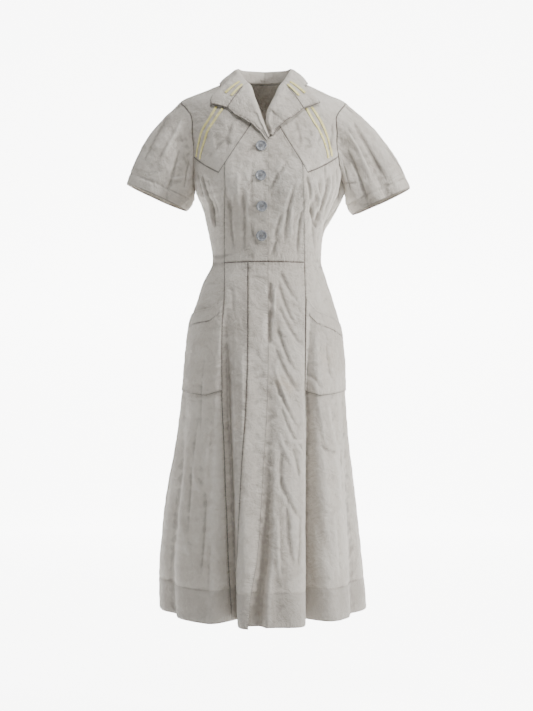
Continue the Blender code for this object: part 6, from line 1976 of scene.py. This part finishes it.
def button_material():
    """Cloudy grey-blue plastic, a little scuffed."""
    n = Nodes("cloudy_plastic")
    body = n.node("ShaderNodeTexCoord").outputs["Object"]
    cloud = n.noise(body, 260.0, 5.0, 0.6, 1.2)
    colour = n.mix(n.ramp(cloud, 0.30, 0.70), srgb(96, 100, 108), srgb(158, 160, 164))
    scuff = n.noise(body, 900.0, 3.0, 0.6)
    return n.connect(Base_Color=colour, Roughness=n.ramp(scuff, 0.3, 0.7, 0.28, 0.46), Coat_Weight=0.15,
                     Normal=n.bump(scuff, 0.00008, 0.4))


def paper_material(name, glow):
    """Matt white paper, lit a little from behind."""
    n = Nodes(name)
    body = n.node("ShaderNodeTexCoord").outputs["Object"]
    shade = n.mix(n.noise(body, 3.0), STAGE_COLOUR, tuple(c * 0.985 for c in STAGE_COLOUR))
    return n.connect(Base_Color=shade, Roughness=0.9, Specular_IOR_Level=0.1, Emission_Color=shade,
                     Emission_Strength=glow)


# Stage: heights and sizes in metres
FLOOR_HEIGHT = -1.50
WALL_PLACE = 5.0
STAGE_HALF = 2.1
STAGE_HEIGHT = 3.4
FLOOR_HALF = 7.0
STAGE_FRONT = 0.05
STAGE_COLOUR = srgb(250, 250, 249)
STAGE_GLOW = 7.5


def make_stage():
    """A pale floor that curves up into a pale backdrop."""
    low = [(x, y, FLOOR_HEIGHT - 0.01) for x, y in ((-FLOOR_HALF, -FLOOR_HALF), (FLOOR_HALF, -FLOOR_HALF),
                                                    (FLOOR_HALF, FLOOR_HALF), (-FLOOR_HALF, FLOOR_HALF))]
    linked("studio_floor", low, [(0, 1, 2, 3)], paper_material("floor_paper", 0.0))
    finish = paper_material("sweep_paper", STAGE_GLOW)
    radius = 1.2
    profile = [(STAGE_FRONT, 0.0), (WALL_PLACE - radius, 0.0)]
    profile += [(WALL_PLACE - radius + radius * math.sin(a), radius - radius * math.cos(a))
                for a in np.linspace(0.1, math.pi / 2, 14)]
    profile += [(WALL_PLACE, STAGE_HEIGHT)]
    vertices = [(x, y, FLOOR_HEIGHT + z) for y, z in profile for x in (-STAGE_HALF, STAGE_HALF)]
    faces = [(2 * k, 2 * k + 1, 2 * k + 3, 2 * k + 2) for k in range(len(profile) - 1)]
    linked("studio_sweep", vertices, faces, finish)


# Camera and lights
CAMERA_PLACE = (0.0045, -3.0, -0.611)
CAMERA_LENS = 67.5
CAMERA_SENSOR = 36.0
Light = namedtuple("Light", "name place target size watts colour")
LIGHTS = (
    Light("key", (2.9, -1.25, 0.9), (0.0, 0.0, -0.60), 0.5, 142.0, (1.0, 0.99, 0.975)),
    Light("fill", (-1.8, -2.8, 0.5), (0.0, 0.0, -0.6), 1.2, 13.0, (0.97, 0.985, 1.0)),
    Light("top", (0.1, -1.2, 2.3), (0.0, 0.0, -0.4), 0.5, 66.0, (1.0, 1.0, 1.0)),
    Light("back", (-1.6, 3.2, 1.0), (0.0, 0.0, -0.5), 2.2, 4.0, (1.0, 1.0, 1.0)),
)
WORLD_STRENGTH = 0.09


def aimed(made, place, target):
    made.location = place
    made.rotation_mode = "QUATERNION"
    made.rotation_quaternion = (Vector(target) - Vector(place)).to_track_quat("-Z", "Y")


def make_camera_and_lights():
    camera = bpy.data.objects.new("photo_camera", bpy.data.cameras.new("photo_camera"))
    camera.data.lens = CAMERA_LENS
    camera.data.sensor_width = CAMERA_SENSOR
    camera.location = CAMERA_PLACE
    camera.rotation_euler = (math.radians(90), 0.0, 0.0)
    bpy.context.scene.collection.objects.link(camera)
    bpy.context.scene.camera = camera
    for light in LIGHTS:
        data = bpy.data.lights.new(light.name, "AREA")
        data.shape = "DISK"
        data.size = light.size
        data.energy = light.watts
        data.color = light.colour
        made = bpy.data.objects.new(light.name, data)
        bpy.context.scene.collection.objects.link(made)
        aimed(made, light.place, light.target)
    world = bpy.data.worlds.new("soft_white")
    world.use_nodes = True
    background = world.node_tree.nodes["Background"]
    background.inputs["Color"].default_value = (1.0, 1.0, 1.0, 1.0)
    background.inputs["Strength"].default_value = WORLD_STRENGTH
    bpy.context.scene.world = world


def main():
    make_camera_and_lights()
    make_stage()
    cloth = cotton_material()
    braid = braid_material()
    plastic = button_material()
    thread = thread_material()
    stitches = Stitches()
    back = make_back_bodice(cloth)
    fronts, backs = {}, {}
    for side in SIDES:
        yoke = make_yoke(side, cloth)
        bodice = make_front_bodice(side, cloth)
        fronts[side] = front_border(side, bodice, yoke)
        backs[side] = back_border(side, back)
        side_panel = make_side_panel(side, cloth)
        make_pocket(side, side_panel, cloth, stitches)
        make_sleeve(side, cloth, stitches)
        for name, share in COLLAR_BRAIDS:
            make_collar_braid(side, name, share, fronts[side], backs[side], braid)
    make_skirt(cloth)
    make_collar(fronts, backs, cloth, stitches)
    stitch_seams(stitches)
    for name, places in BRAIDS.items():
        make_yoke_braid(name, places, braid)
    cutters = make_cutters()
    buttons = [make_button(index, place, plastic, cutters) for index, place in enumerate(BUTTON_PLACES)]
    for cutter in cutters:
        bpy.data.objects.remove(cutter, do_unlink=True)
    bpy.context.view_layer.update()
    for button, place in zip(buttons, BUTTON_PLACES):
        sew_button(button, stitches)
        sew_buttonhole(place, stitches)
    stitches.make("stitches", thread)


main()
